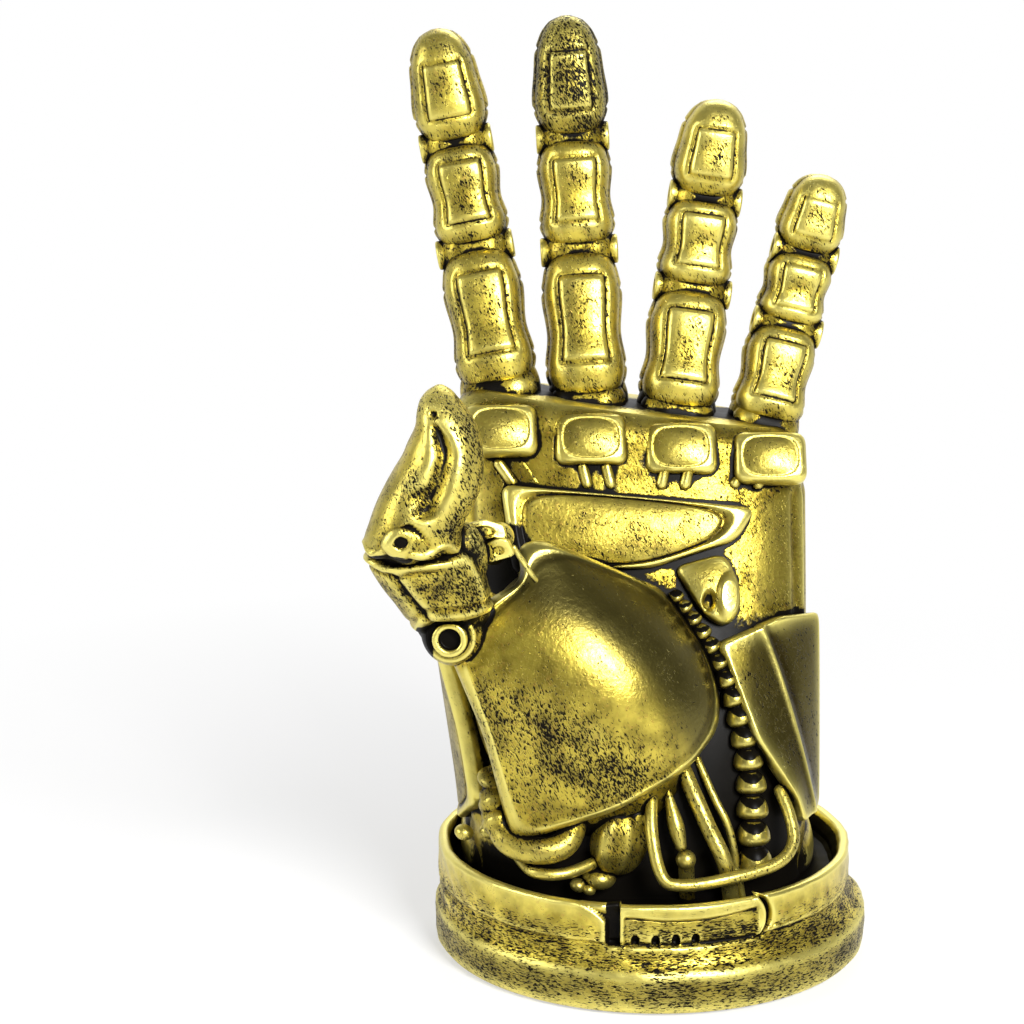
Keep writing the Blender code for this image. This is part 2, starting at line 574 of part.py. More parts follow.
def back_plates():
    """The plates over the back of the hand and the wrist."""
    dorsal = [behind(*row) for row in (
        (-79, 87.3, -0.6), (-88, 64.8, -1.6), (-52, 43.7, 0.4), (38, 43.7, 0.4), (80, 62.0, -1.6),
        (73, 80.3, -0.6), (-1, 90.8, 0.2))]
    plate("dorsal_plate", dorsal, (0.0, 1.0, 0.0), bulge=PLATE_BULGE * 1.8, rounding=3.0 * MM)
    wrist = [behind(*row) for row in (
        (-65, 38.0, -2.6), (-71, 7.0, -3.6), (8, 4.9, 0.6), (72, 7.0, -3.6), (70, 38.0, -2.6),
        (2, 40.1, 0.6))]
    plate("wrist_plate", wrist, (0.0, 1.0, 0.0), bulge=PLATE_BULGE * 1.5, rounding=2.5 * MM)


def cables():
    """The cables, boot, knob, rods and wire loop that come down from under the guard into the dish."""
    tube("bent_cable", [ahead(*row) for row in (
        (-80, 28.0, -2.4), (-83, 21.5, 0.2), (-77, 14.9, 3.2), (-59, 13.2, 4.8), (-43, 15.0, 4.0),
        (-35, 23.0, 0.8))], CABLE_RADIUS * 1.3)
    tube("low_cable", [ahead(*row) for row in (
        (-72, 9.5, -1.0), (-62, 8.4, 4.2), (-44, 8.3, 4.6), (-20, 10.0, 1.0))], THIN_CABLE_RADIUS)
    for index in range(3):
        ball(f"boot_ring_{index}", ahead(-83 + index, 25.5 - 3.4 * index, -0.9 + 1.1 * index),
             (CABLE_RADIUS * 1.75, CABLE_RADIUS * 1.75, CABLE_RADIUS))
    ball("knob", ahead(-14, 13.8, 1.2), mm(4.2, 4.0, 5.7), axis=(0.18, 0.0, 1.0), segments=10, rings=6)
    ball("knob_foot", ahead(-25, 5.6, 1.2), mm(2.6, 2.4, 1.8))
    tube("wire_loop", [ahead(*row) for row in (
        (6, 26.2, 3.1), (5, 17.6, 5.8), (10, 9.0, 7.2), (21, 7.2, 7.6), (46, 8.0, 6.6), (75, 9.7, 3.6),
        (86, 13.0, 1.2), (85, 18.0, -0.6), (79, 23.5, -2.4))], LOOP_RADIUS)
    rod_end = ahead(24.4, 10.7, 3.6)
    rod("tapered_rod", ahead(13.2, 27.0, 2.2), ahead(22.5, 12.3, 3.5), THIN_CABLE_RADIUS * 0.7,
        CABLE_RADIUS * 0.72, sides=8)
    ball("rod_end", rod_end, [CABLE_RADIUS * 0.95] * 3)
    rod("rod_stem", rod_end, ahead(26, -1.4, 0.0), CABLE_RADIUS * 0.75, sides=6)
    tube("slant_tube", [ahead(*row) for row in (
        (21, 31.0, 0.8), (36.3, 18.3, 2.9), (47, 9.5, 3.9), (51, -1.4, 1.0))], CABLE_RADIUS * 0.78)
    tube("thin_tube", [ahead(*row) for row in (
        (30.5, 31.5, -0.8), (41.5, 22.6, 1.0), (50.5, 15.0, 1.3), (58, -1.4, 0.0))], THIN_CABLE_RADIUS * 0.67)


def beads():
    """The string of beads that widens down the channel beside the guard."""
    route = [on_skin(*row) for row in (
        (20, 64.2, 0.3), (31, 58.5, 0.3), (43, 51.5, 0.4), (53, 43.7, 0.5), (59, 35.8, 0.6), (63, 25.4, 1.2),
        (64, 13.4, 2.1), (65, 6.1, 2.2))]
    tube("bead_cord", [spot + Y_WAY * BEAD_FIRST for spot in route], BEAD_FIRST * 1.5, smoothness=1)
    runs = [(after - before).length for before, after in zip(route, route[1:])]
    radii = [BEAD_FIRST + (BEAD_LAST - BEAD_FIRST) * index / (BEAD_COUNT - 1) for index in range(BEAD_COUNT)]
    done = 0.0
    for index, radius in enumerate(radii):
        travel = sum(runs) * (done + radius / 2.0) / sum(radii)
        leg = 0
        while leg < len(runs) - 1 and travel > runs[leg]:
            travel -= runs[leg]
            leg += 1
        way = (route[leg + 1] - route[leg]).normalized()
        ball(f"bead_{index}", route[leg] + way * travel, (radius, radius, radius * 0.88), axis=way, rings=4)
        done += radius


def gold():
    """Antique gold paint over a black ground."""
    paint = bpy.data.materials.new("antique_gold_paint")
    paint.use_nodes = True
    shader = paint.node_tree.nodes["Principled BSDF"]
    shader.inputs["Base Color"].default_value = (0.56, 0.48, 0.12, 1.0)
    shader.inputs["Metallic"].default_value = 0.7
    shader.inputs["Roughness"].default_value = 0.38
    paint.diffuse_color = (0.56, 0.48, 0.12, 1.0)
    return paint


def casting():
    """The union of all forms, less the cutters, as the one piece that the stand is."""
    bm = bmesh.new()
    bmesh.ops.create_cube(bm, size=1.0)
    inside = Matrix.Diagonal((FOOT_RADIUS, FOOT_RADIUS, FOOT_HEIGHT * 0.4, 1.0))
    bm.transform(Matrix.Translation(Z_WAY * (FOOT_HEIGHT * 0.5)) @ inside)
    hand = bpy.data.objects.new("hand_stand", mesh_of("hand_stand", bm))
    STAND.objects.link(hand)
    hand.data.materials.append(gold())
    for title, operation, group in (("join the forms", "UNION", FORMS),
                                    ("cut the grooves", "DIFFERENCE", CUTTERS)):
        boolean = hand.modifiers.new(title, "BOOLEAN")
        boolean.operation = operation
        boolean.operand_type = "COLLECTION"
        boolean.collection = group
        boolean.solver = "EXACT"
    return hand


base()
band()
core()
cuff()
guard()
thumb()
side_plates()
palm_pads()
back_plates()
for finger_index in range(4):
    finger(finger_index)
cables()
beads()
casting()
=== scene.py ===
"""Looks of the controller stand: a mechanical hand cast in resin, painted antique gold over black.

Every surface is worked out on a grid of two parameters, as the solids are, with finer steps and with
the panel lines, rims, rivets and bead forms that the solids leave plain. Four values are then stored at
each point: how deep it lies in a hollow, where black wash stays and where black is laid as painted
shade in deep recesses and gaps, how far it stands out on an edge, where the gold is worn bright, how
thickly the brush's dark dashes lie there, and how thinly its gold lies, which on some pieces is
painted shade.
"""

import math

import bpy
import numpy as np
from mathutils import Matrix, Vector


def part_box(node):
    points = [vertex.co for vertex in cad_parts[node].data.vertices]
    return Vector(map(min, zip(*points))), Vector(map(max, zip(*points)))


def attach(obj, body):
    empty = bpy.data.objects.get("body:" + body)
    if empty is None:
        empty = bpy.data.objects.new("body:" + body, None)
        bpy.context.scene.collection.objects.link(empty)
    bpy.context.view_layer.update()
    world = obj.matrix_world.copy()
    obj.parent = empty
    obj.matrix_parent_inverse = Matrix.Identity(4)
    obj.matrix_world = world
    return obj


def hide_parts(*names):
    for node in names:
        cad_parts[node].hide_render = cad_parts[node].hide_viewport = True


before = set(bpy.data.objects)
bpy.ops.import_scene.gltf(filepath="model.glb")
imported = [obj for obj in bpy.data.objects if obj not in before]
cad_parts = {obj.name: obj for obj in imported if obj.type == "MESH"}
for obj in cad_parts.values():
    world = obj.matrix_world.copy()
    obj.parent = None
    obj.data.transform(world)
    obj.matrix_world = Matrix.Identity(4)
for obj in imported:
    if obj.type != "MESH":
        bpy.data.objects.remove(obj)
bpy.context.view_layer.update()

MM = 0.001
TAU = 2.0 * math.pi
FRONT = -math.pi / 2.0

# All lengths below are millimetres, in the frame of the solids.
FOOT_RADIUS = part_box("hand_stand")[1][0] / MM
FOOT_HEIGHT = 7.2
FOOT_ROUNDING = 1.8
SHOULDER_RISE = 1.6
COLLAR_RADIUS = FOOT_RADIUS - 1.6
COLLAR_WALL = 2.5
COLLAR_SHIFT = -1.1
RIM = FOOT_HEIGHT + SHOULDER_RISE + 8.0
FLOOR = RIM - 3.8

BAND_DEPTH = 0.6
BAND_SLOT = 1.9
BAND_LENGTH = 23.0
BAND_START = math.radians(-99.0)
BAND_FOOT = FOOT_HEIGHT + 3.5
TOOTH_COUNT = 4
TOOTH_PITCH = 3.1
TOOTH_WIDTH = 1.3

HAND_HEIGHT = 71.0
WRIST_WIDTH, WRIST_DEPTH, WRIST_SHIFT, WRIST_SETBACK = 53.0, 44.0, -2.0, 2.5
PALM_WIDTH, PALM_THICKNESS, PALM_SHIFT, PALM_LEAN = 54.0, 20.0, -3.5, 8.5
KNUCKLE_SLOPE = -0.13
CORE_SQUARENESS = 2.8

FINGER_PITCH = 13.8
INDEX_OFFSET = -20.2
FINGER_WIDTH = 11.6
FINGER_DEPTH = 11.0
FINGER_REACHES = (58.4, 61.5, 50.4, 41.0)
FINGER_FANS = np.radians((-10.5, -3.5, 8.0, 14.0))
FINGER_SIZES = (1.0, 1.0, 1.0, 0.9)
BONE_SHARES = (0.40, 0.29, 0.31)
BONE_SIZES = (1.0, 0.93, 0.87)
BONE_LEANS = np.radians((21.0, 13.0, 2.0))
SHELL_STEP = 0.5
PIN_RADIUS = 2.3
PIN_HOLE = 1.1
PIN_RISE = 0.7

THUMB_GRIP = 19.5
THUMB_WIDTH = 15.0
THUMB_DEPTH = 13.0
THUMB_TIP_LENGTH = 23.6
THUMB_LINK_LENGTH = 15.0
THUMB_LEAN = 10.0
THUMB_SWAY = 5.6

GUARD_BULGE = 8.5
CABLE_RADIUS = 1.6
THIN_CABLE_RADIUS = 0.9
LOOP_RADIUS = 0.95
BEAD_COUNT = 15
BEAD_FIRST = 1.3
BEAD_LAST = 2.7

X_WAY = np.array((1.0, 0.0, 0.0))
Y_WAY = np.array((0.0, 1.0, 0.0))
Z_WAY = np.array((0.0, 0.0, 1.0))


def unit(vectors):
    """Vectors brought to length one."""
    vectors = np.asarray(vectors, dtype=float)
    return vectors / np.maximum(np.linalg.norm(vectors, axis=-1, keepdims=True), 1e-12)


def ease(values, low, high):
    """0 below low, 1 above high, and the smooth step 3t^2 - 2t^3 between them."""
    share = np.clip((np.asarray(values, dtype=float) - low) / (high - low), 0.0, 1.0)
    return share * share * (3.0 - 2.0 * share)


def within(values, rise, full, fade, gone):
    """0 below rise, 1 from full to fade and 0 above gone, with smooth steps between them."""
    return ease(values, rise, full) * (1.0 - ease(values, fade, gone))


def bell(values, centre, half):
    """A soft hill, exp(-d^2), with d the distance from the centre in half widths."""
    return np.exp(-((np.asarray(values, dtype=float) - centre) / half) ** 2)


def through(table, shares):
    """Values at shares on smooth curves through a table's rows, whose first column is the share.

    Each gap is a cubic with the slopes that the rows on both sides of its ends give.
    """
    table = np.asarray(table, dtype=float)
    at, rows = table[:, 0], table[:, 1:]
    slopes = np.gradient(rows, at, axis=0)
    gap = np.clip(np.searchsorted(at, shares, side="right") - 1, 0, len(at) - 2)
    width = (at[gap + 1] - at[gap])[:, None]
    t = np.clip((np.asarray(shares)[:, None] - at[gap][:, None]) / width, 0.0, 1.0)
    start, end = 2 * t**3 - 3 * t**2 + 1, 3 * t**2 - 2 * t**3
    leave, arrive = t**3 - 2 * t**2 + t, t**3 - t**2
    return rows[gap] * start + rows[gap + 1] * end + width * (slopes[gap] * leave + slopes[gap + 1] * arrive)


def route(points, spacing=0.4):
    """A smooth curve through points, evenly spaced: a Catmull-Rom cubic in each gap, then resampled."""
    points = np.asarray(points, dtype=float)
    ends = np.vstack([2 * points[0] - points[1], points, 2 * points[-1] - points[-2]])
    before, here, there, after = ends[:-3], ends[1:-2], ends[2:-1], ends[3:]
    t = np.linspace(0.0, 1.0, 20, endpoint=False)[:, None, None]
    curve = 0.5 * (2 * here + (there - before) * t + (2 * before - 5 * here + 4 * there - after) * t**2
                   + (3 * here - before - 3 * there + after) * t**3)
    curve = np.vstack([curve.transpose(1, 0, 2).reshape(-1, 3), points[-1]])
    travel = np.concatenate([[0.0], np.cumsum(np.linalg.norm(np.diff(curve, axis=0), axis=1))])
    even = np.linspace(0.0, travel[-1], max(6, int(travel[-1] / spacing)))
    return np.stack([np.interp(even, travel, curve[:, axis]) for axis in range(3)], axis=1), even


def closed_skin(grid):
    """Points and triangles of a grid of rings whose two ends are drawn together, all facing out."""
    rows, columns = grid.shape[:2]
    points = np.concatenate([grid.reshape(-1, 3), grid[0].mean(axis=0)[None], grid[-1].mean(axis=0)[None]])
    ring = np.arange(columns)
    after = (ring + 1) % columns
    low = (np.arange(rows - 1) * columns)[:, None]
    one, two = (low + ring).ravel(), (low + after).ravel()
    three, four = two + columns, one + columns
    last = (rows - 1) * columns
    faces = np.concatenate([
        np.stack([one, two, three], axis=1), np.stack([one, three, four], axis=1),
        np.stack([np.full(columns, rows * columns), after, ring], axis=1),
        np.stack([np.full(columns, rows * columns + 1), last + ring, last + after], axis=1)])
    corner = points[faces] - points.mean(axis=0)
    volume = np.einsum("ij,ij->i", corner[:, 0], np.cross(corner[:, 1], corner[:, 2])).sum()
    return points, faces if volume > 0.0 else faces[:, ::-1]


def core_at(up):
    """Centre x, centre y, half width and half depth of wrist and palm at a share of the hand's height."""
    share = np.clip(np.asarray(up, dtype=float), 0.0, 1.0)
    blend = ease(share, 0.0, 1.0)
    return (WRIST_SHIFT + (PALM_SHIFT - WRIST_SHIFT) * share, WRIST_SETBACK + PALM_LEAN * share**1.5,
            (WRIST_WIDTH + (PALM_WIDTH - WRIST_WIDTH) * blend) / 2.0,
            (WRIST_DEPTH + (PALM_THICKNESS - WRIST_DEPTH) * blend) / 2.0)


def spots(rows, side, curved=False):
    """Points off the core: per cent across, per cent up, millimetres out in front (-1) or behind (1)."""
    across, up, out = np.asarray(rows, dtype=float).T / 100.0
    centre_x, centre_y, half_width, half_depth = core_at(up)
    if curved:
        half_depth = half_depth * (1.0 - np.abs(across) ** CORE_SQUARENESS) ** (1.0 / CORE_SQUARENESS)
    return np.stack([centre_x + half_width * across, centre_y + side * (half_depth + out * 100.0),
                     FLOOR + HAND_HEIGHT * up], axis=1)


def ahead(*rows):
    """Points in front of the core's foremost line."""
    return spots(rows, -1.0)


def on_skin(*rows):
    """Points in front of the core's curved skin."""
    return spots(rows, -1.0, curved=True)


def behind(*rows):
    """Points behind the core's rearmost line."""
    return spots(rows, 1.0)


def beside(*rows):
    """Points out from the core's thumb side: per cent back, per cent up, millimetres out."""
    deep, up, out = np.asarray(rows, dtype=float).T
    centre_x, centre_y, half_width, half_depth = core_at(up / 100.0)
    return np.stack([centre_x - half_width - out, centre_y + half_depth * deep / 100.0,
                     FLOOR + HAND_HEIGHT * up / 100.0], axis=1)


def squarish(turns, squareness):
    """Unit ring between an ellipse and a box: cos and sin raised to 2 over the squareness."""
    power = 2.0 / squareness
    return (np.sign(np.cos(turns)) * np.abs(np.cos(turns)) ** power,
            np.sign(np.sin(turns)) * np.abs(np.sin(turns)) ** power)


def loft(centres, across, deep, half_width, half_depth, squareness, columns, relief=None):
    """Rings carried along a row of centres, each pushed out along its own radius by the relief."""
    turns = TAU * (np.arange(columns) + 0.5) / columns
    wide, thick = squarish(turns, squareness)
    across = np.broadcast_to(across, centres.shape)[:, None, :]
    deep = np.broadcast_to(deep, centres.shape)[:, None, :]
    offset = (across * (half_width[:, None] * wide)[..., None]
              + deep * (half_depth[:, None] * thick)[..., None])
    if relief is not None:
        offset = offset + unit(offset) * relief(turns)[..., None]
    return closed_skin(centres[:, None, :] + offset)


def ellipsoid(centre, half_sizes, axis=Z_WAY, columns=36, rows=20, relief=None):
    """An ellipsoid whose third half size lies along the axis: sines for the rings, cosines along."""
    axis = unit(np.asarray(axis, dtype=float))
    side = unit(np.cross(Y_WAY if abs(axis[1]) < 0.9 else X_WAY, axis))
    deep = np.cross(axis, side)
    polar = math.pi * (np.arange(rows) + 0.5) / rows
    centres = np.asarray(centre, dtype=float) - axis * (half_sizes[2] * np.cos(polar))[:, None]
    return loft(centres, side, deep, half_sizes[0] * np.sin(polar), half_sizes[1] * np.sin(polar), 2.0,
                columns, relief)


def tube(points, radius, columns=20, spacing=0.35, way=Y_WAY, rounded=True):
    """A ring of a given radius, or of one radius for each share of the length, carried along a curve."""
    centres, travel = route(points, spacing)
    tangent = unit(np.gradient(centres, axis=0))
    side = unit(np.cross(tangent, way))
    deep = np.cross(side, tangent)
    girth = radius(travel) if callable(radius) else np.full(len(travel), float(radius))
    if rounded:
        near = np.minimum(travel, travel[-1] - travel)
        girth = girth * np.sqrt(1.0 - (1.0 - np.clip(near / girth + 0.05, 0.0, 1.0)) ** 2)
    return loft(centres, side, deep, girth, girth, 2.0, columns)


def turned(profile, centre, axis, columns=32, spacing=0.22):
    """A profile of radius and height, walked in small steps and turned about an axis."""
    profile = np.asarray(profile, dtype=float)
    run = np.concatenate([[0.0], np.cumsum(np.linalg.norm(np.diff(profile, axis=0), axis=1))])
    even = np.unique(np.concatenate([np.arange(0.0, run[-1], spacing), run]))
    radius, height = np.interp(even, run, profile[:, 0]), np.interp(even, run, profile[:, 1])
    axis = unit(np.asarray(axis, dtype=float))
    side = unit(np.cross(Y_WAY if abs(axis[1]) < 0.9 else X_WAY, axis))
    centres = np.asarray(centre, dtype=float) + axis * height[:, None]
    return loft(centres, side, np.cross(axis, side), np.maximum(radius, 0.001), np.maximum(radius, 0.001),
                2.0, columns)


def arc(centre_radius, centre_height, size, first, last, steps=5):
    """Profile points on a quarter of a circle, from one angle in degrees to another."""
    angles = np.radians(np.linspace(first, last, steps))
    return list(zip(centre_radius + size * np.cos(angles), centre_height + size * np.sin(angles)))


def pin(centre, axis, radius, hole, rise):
    """A pin head with a rounded rim, a dished face and a blind hole."""
    soft = 0.3 * rise + 0.12
    profile = [(0.0, -0.9 * rise), (hole * 0.9, -0.9 * rise), (hole, -0.6 * rise), (hole, rise - soft)]
    profile += arc(hole + soft, rise - soft, soft, 180, 90, 4)
    profile += arc(radius - soft, rise - soft, soft, 90, 0, 4)
    profile += [(radius, -2.2 * rise - 0.5), (0.0, -2.2 * rise - 0.5)]
    return turned(profile, centre, axis)


def rivet(centre, axis, radius=0.75):
    """A small domed head: an ellipsoid that is flattened along its axis."""
    return ellipsoid(centre, (radius, radius, radius * 0.62), axis, 14, 9)


def outline_of(corners, rounding, count=220):
    """A closed outline through corners, each rounded off by a parabola, evenly spaced by length."""
    corners = np.asarray(corners, dtype=float)
    back, onward = np.roll(corners, 1, axis=0) - corners, np.roll(corners, -1, axis=0) - corners
    reach_back = np.minimum(rounding, np.linalg.norm(back, axis=1) * 0.45)[:, None]
    reach_on = np.minimum(rounding, np.linalg.norm(onward, axis=1) * 0.45)[:, None]
    enter, leave = corners + unit(back) * reach_back, corners + unit(onward) * reach_on
    t = np.linspace(0.0, 1.0, 9)[:, None, None]
    curve = enter * (1 - t) ** 2 + corners * 2 * t * (1 - t) + leave * t**2
    curve = curve.transpose(1, 0, 2).reshape(-1, 3)
    curve = np.vstack([curve, curve[0]])
    travel = np.concatenate([[0.0], np.cumsum(np.linalg.norm(np.diff(curve, axis=0), axis=1))])
    even = np.linspace(0.0, travel[-1], count, endpoint=False)
    return np.stack([np.interp(even, travel, curve[:, axis]) for axis in range(3)], axis=1)


def plate(corners, outward, bulge=1.2, sink=4.5, rounding=2.0, rim=0.0, line=0.0, roll=0.6, step=1.6,
          spacing=0.45, relief=None, lean=(0.0, 0.0, 0.0)):
    """A domed plate over an outline, whose dome leans towards one side.

    Each inner ring is the outline with its k-th ripple faded by the k-th power of the ring's share, so
    the face has no creases. The face rises by bulge times one less the share squared, rolls off at its
    edge, may carry a raised rim and a cut line beside it, and its wall then goes back into the body.
    """
    outline = outline_of(corners, rounding, int(220 * 0.45 / spacing))
    middle = outline.mean(axis=0)
    arms = outline - middle
    normal = unit(np.cross(arms, np.roll(arms, -1, axis=0)).sum(axis=0))
    normal = normal * np.sign(normal @ np.asarray(outward))
    reach = np.linalg.norm(arms, axis=1).mean()
    border = min(3.0, 0.6 * reach)
    shares = np.concatenate([np.linspace(0.02, 1.0 - border / reach, int(reach / spacing) + 2)[:-1],
                             1.0 - np.linspace(border, 0.0, 22) / reach])
    ripples = np.fft.rfft(arms, axis=0)
    order = np.arange(len(ripples))
    rings = np.fft.irfft(ripples[None] * (shares[:, None] ** order)[..., None], n=len(outline), axis=1)
    inward = (1.0 - shares) * reach
    lift = bulge * (1.0 - shares**2) - roll * np.clip(1.0 - inward / roll, 0.0, 1.0) ** 2 * 0.8
    lift = lift + rim * (1.0 - ease(inward, 1.0, 1.5)) - line * bell(inward, 1.9, 0.3)
    dome = bulge * (1.0 - shares[:, None] ** 2) * (rings @ np.asarray(lean)) / reach
    lift = lift[:, None] + dome
    face = middle + rings
    if relief is not None:
        lift = lift + relief(face, inward[:, None])
    face = face + normal * lift[..., None]
    edge = lift[-1][:, None]
    drops = np.array([0.25, 0.6, 1.0]) * step
    wall = middle + arms * (1.0 + 0.1 / reach) + normal * (edge - drops[:, None, None])
    back = middle + arms * 0.86 - normal * np.array([sink * 0.6, sink])[:, None, None]
    return closed_skin(np.concatenate([face, wall, back]))


def guard_corners():
    """Corners of the domed guard over the heel of the thumb."""
    return ahead((-106, 59.2, 15.5), (-86, 39.4, 11.2), (-72, 14.9, 5.2), (-13, 23.4, 8.5), (27, 30.7, 6.5),
                 (45, 37.2, 3.2), (47, 43.7, 1.7), (39, 53.0, 1.6), (17, 64.5, 1.3), (-50, 78.3, 12.1),
                 (-65, 77.5, 12.7), (-62, 70.4, 13.3), (-81, 67.6, 14.5))


def base_surface():
    """The foot and the collar: a profile of radius and height turned about the axis.

    The collar's wall is pushed in by depths that depend on the length along the band and on the
    height, each edge a smooth step: the band, the slot before it, the seam after it and the teeth.
    """
    inner = COLLAR_RADIUS - COLLAR_WALL
    lip = 0.55
    foot = [(0.0, 0.0), (FOOT_RADIUS - FOOT_ROUNDING, 0.0)]
    foot += arc(FOOT_RADIUS - FOOT_ROUNDING, FOOT_ROUNDING, FOOT_ROUNDING, -90, 0, 7)
    foot += arc(FOOT_RADIUS - 1.1, FOOT_HEIGHT - 1.1, 1.1, 0, 70, 6)
    foot += [(COLLAR_RADIUS + 0.5, FOOT_HEIGHT + 0.3), (COLLAR_RADIUS + 0.1, FOOT_HEIGHT + 1.3),
             (COLLAR_RADIUS - 0.25, BAND_FOOT - 0.7), (COLLAR_RADIUS - 0.4, BAND_FOOT - 0.15)]
    wall = [(COLLAR_RADIUS - 0.3, BAND_FOOT), (COLLAR_RADIUS, BAND_FOOT + 0.4), (COLLAR_RADIUS, RIM - lip)]
    wall += arc(COLLAR_RADIUS - lip, RIM - lip, lip, 0, 90, 6)
    wall += arc(COLLAR_RADIUS - 1.1, RIM - 0.4, 0.4, 90, 150, 4)
    wall += [(inner, RIM - 2.4), (inner, FLOOR + 0.6), (inner - 0.6, FLOOR), (inner - 8.0, FLOOR),
             (0.5, FLOOR)]
    profile = np.asarray(foot + wall, dtype=float)
    run = np.concatenate([[0.0], np.cumsum(np.linalg.norm(np.diff(profile, axis=0), axis=1))])
    slope_run, end_run = run[len(foot) - 5], run[-5]
    even = np.unique(np.concatenate([np.linspace(0.0, slope_run, 40), np.arange(slope_run, end_run, 0.25),
                                     np.linspace(end_run, run[-3], 20), run[-3:]]))
    radius = np.interp(even, run, profile[:, 0])[:, None]
    height = np.interp(even, run, profile[:, 1])[:, None]
    front = np.linspace(BAND_START - 0.26, BAND_START + 0.82, 440)
    rest = np.linspace(BAND_START + 0.82, BAND_START - 0.26 + TAU, 182)[1:-1]
    turns = np.concatenate([front, rest])[None, :]
    length = (turns - BAND_START) * COLLAR_RADIUS
    outer = ease(radius, inner + 1.0, inner + 1.5) * ease(height, BAND_FOOT - 0.6, BAND_FOOT - 0.1)
    below = RIM - height
    # The slot's left side is a quarter round that sweeps up and away along the rim.
    sweep = 4.4 * np.clip(1.0 - below / 3.2, 0.0, 1.0) ** 2
    slot_left = -BAND_SLOT - sweep
    slot = ease(length, slot_left, slot_left + 0.35) * (1 - ease(length, 0.05, 0.35))
    slot = slot * (1.6 - 1.3 * ease(-length, -0.4, 3.0) * ease(RIM - height, 3.4, 0.4))
    hem = 0.3 * bell(length, slot_left - 0.4, 0.45) * (1 - ease(height, RIM - 0.3, RIM))
    # The band lies under a rim moulding, with a groove between them that dips in the middle.
    tall = RIM - 2.0 - 0.5 * ease(length, 1.0, 8.0) + 0.6 * ease(length, 12.0, 22.0)
    along = within(length, 0.6, 1.2, BAND_LENGTH - 1.6, BAND_LENGTH - 0.9)
    recess = BAND_DEPTH * along * (1 - ease(height, tall - 0.2, tall + 0.2))
    groove = 0.45 * bell(height, tall + 0.1, 0.24) * along
    bow = 1.6 * (1 - ((height - (BAND_FOOT + RIM) / 2.0) / 3.2) ** 2)
    seam_at = BAND_LENGTH - 1.1 + np.clip(bow, -0.6, 1.6)
    seam = 1.8 * bell(length, seam_at + 0.35, 0.46)
    seam_lip = 0.35 * bell(length, seam_at - 0.5, 0.4)
    past_first = length - 2.5
    nearest = np.clip(np.round(past_first / TOOTH_PITCH), 0, TOOTH_COUNT - 1)
    tooth = np.abs(past_first - TOOTH_PITCH * nearest)
    notch = np.sqrt((tooth / (TOOTH_WIDTH * 0.5)) ** 2 + ((height - BAND_FOOT - 0.5) / 0.9) ** 2)
    teeth = 1.2 * (1 - ease(notch, 0.75, 1.1))
    ledge = 0.35 * bell(height, BAND_FOOT + 0.15, 0.25) * within(length, -3.5, -2.0, 31.0, 34.0)
    cracks = 0.3 * bell(height, BAND_FOOT + 0.9 + 0.25 * np.sin(length * 2.3) + 0.05 * (length - 24.0), 0.16)
    cracks = cracks * within(length, BAND_LENGTH + 0.3, BAND_LENGTH + 1.0, 30.0, 32.5)
    depth = outer * np.maximum.reduce([recess + groove, slot, seam, teeth + recess, ledge, cracks])
    depth = depth - outer * (hem + seam_lip)
    # The casting is a little uneven, as a resin copy of a hand-made original is.
    wave = (0.07 * np.sin(turns * 9.0 + 2.0 * np.sin(turns * 4.0) + height * 0.8)
            + 0.04 * np.sin(turns * 31.0 + 3.0 * np.sin(turns * 7.0) + height * 1.9))
    wave = wave * ease(radius, 20.0, 30.0)
    reach = np.maximum(radius - depth + wave * ease(height, 0.3, 1.5), 0.3)
    shift = COLLAR_SHIFT * ease(even, slope_run - 0.6, slope_run + 2.6)[:, None]
    grid = np.stack([reach * np.cos(turns) + shift, reach * np.sin(turns), height + 0.0 * turns], axis=-1)
    return [closed_skin(grid)]


def core_surface():
    """The wrist and the palm as one loft, with flutes down both sides of the wrist."""
    top = np.sin(np.linspace(0.05, 1.0, 14) * math.pi / 2)
    up = np.concatenate([np.linspace(-0.05, 0.94, 120), 0.94 + 0.06 * top])
    centre_x, centre_y, half_width, half_depth = core_at(up)
    close = np.sqrt(np.clip(1.0 - ((up - 0.94) / 0.075).clip(0.0, 1.0) ** 2, 0.0, 1.0))
    half_width, half_depth = half_width * (0.75 + 0.25 * close), half_depth * (0.45 + 0.55 * close)
    slope = np.maximum(up, 0.0) ** 2 * KNUCKLE_SLOPE
    across = np.stack([np.ones_like(up), np.zeros_like(up), slope], axis=1)
    centres = np.stack([centre_x, centre_y, FLOOR + HAND_HEIGHT * up], axis=1)

    def flutes(turns):
        """Cosine ribs on the two narrow sides, faded out towards the palm."""
        side = ease(np.abs(np.cos(turns)), 0.80, 0.95)[None, :]
        tall = within(up, 0.1, 0.14, 0.84, 0.88)[:, None]
        return 0.45 * side * tall * np.cos(np.sin(turns) * 22.0)[None, :]

    return loft(centres, across, Y_WAY, half_width, half_depth, CORE_SQUARENESS, 270, flutes)


def cuff_surface():
    """The low ring round the wrist: two rounded steps."""
    up = np.linspace(-0.02, 0.075, 22)
    centre_x, centre_y, half_width, half_depth = core_at(up)
    swell = 1.5 * (1 - ((up - 0.027) / 0.05) ** 2).clip(0.0, 1.0) ** 0.5 + 0.1
    centres = np.stack([centre_x, centre_y + 2.4, FLOOR + HAND_HEIGHT * up], axis=1)
    return loft(centres, X_WAY, Y_WAY, half_width + swell, half_depth + swell - 1.5, CORE_SQUARENESS, 260)


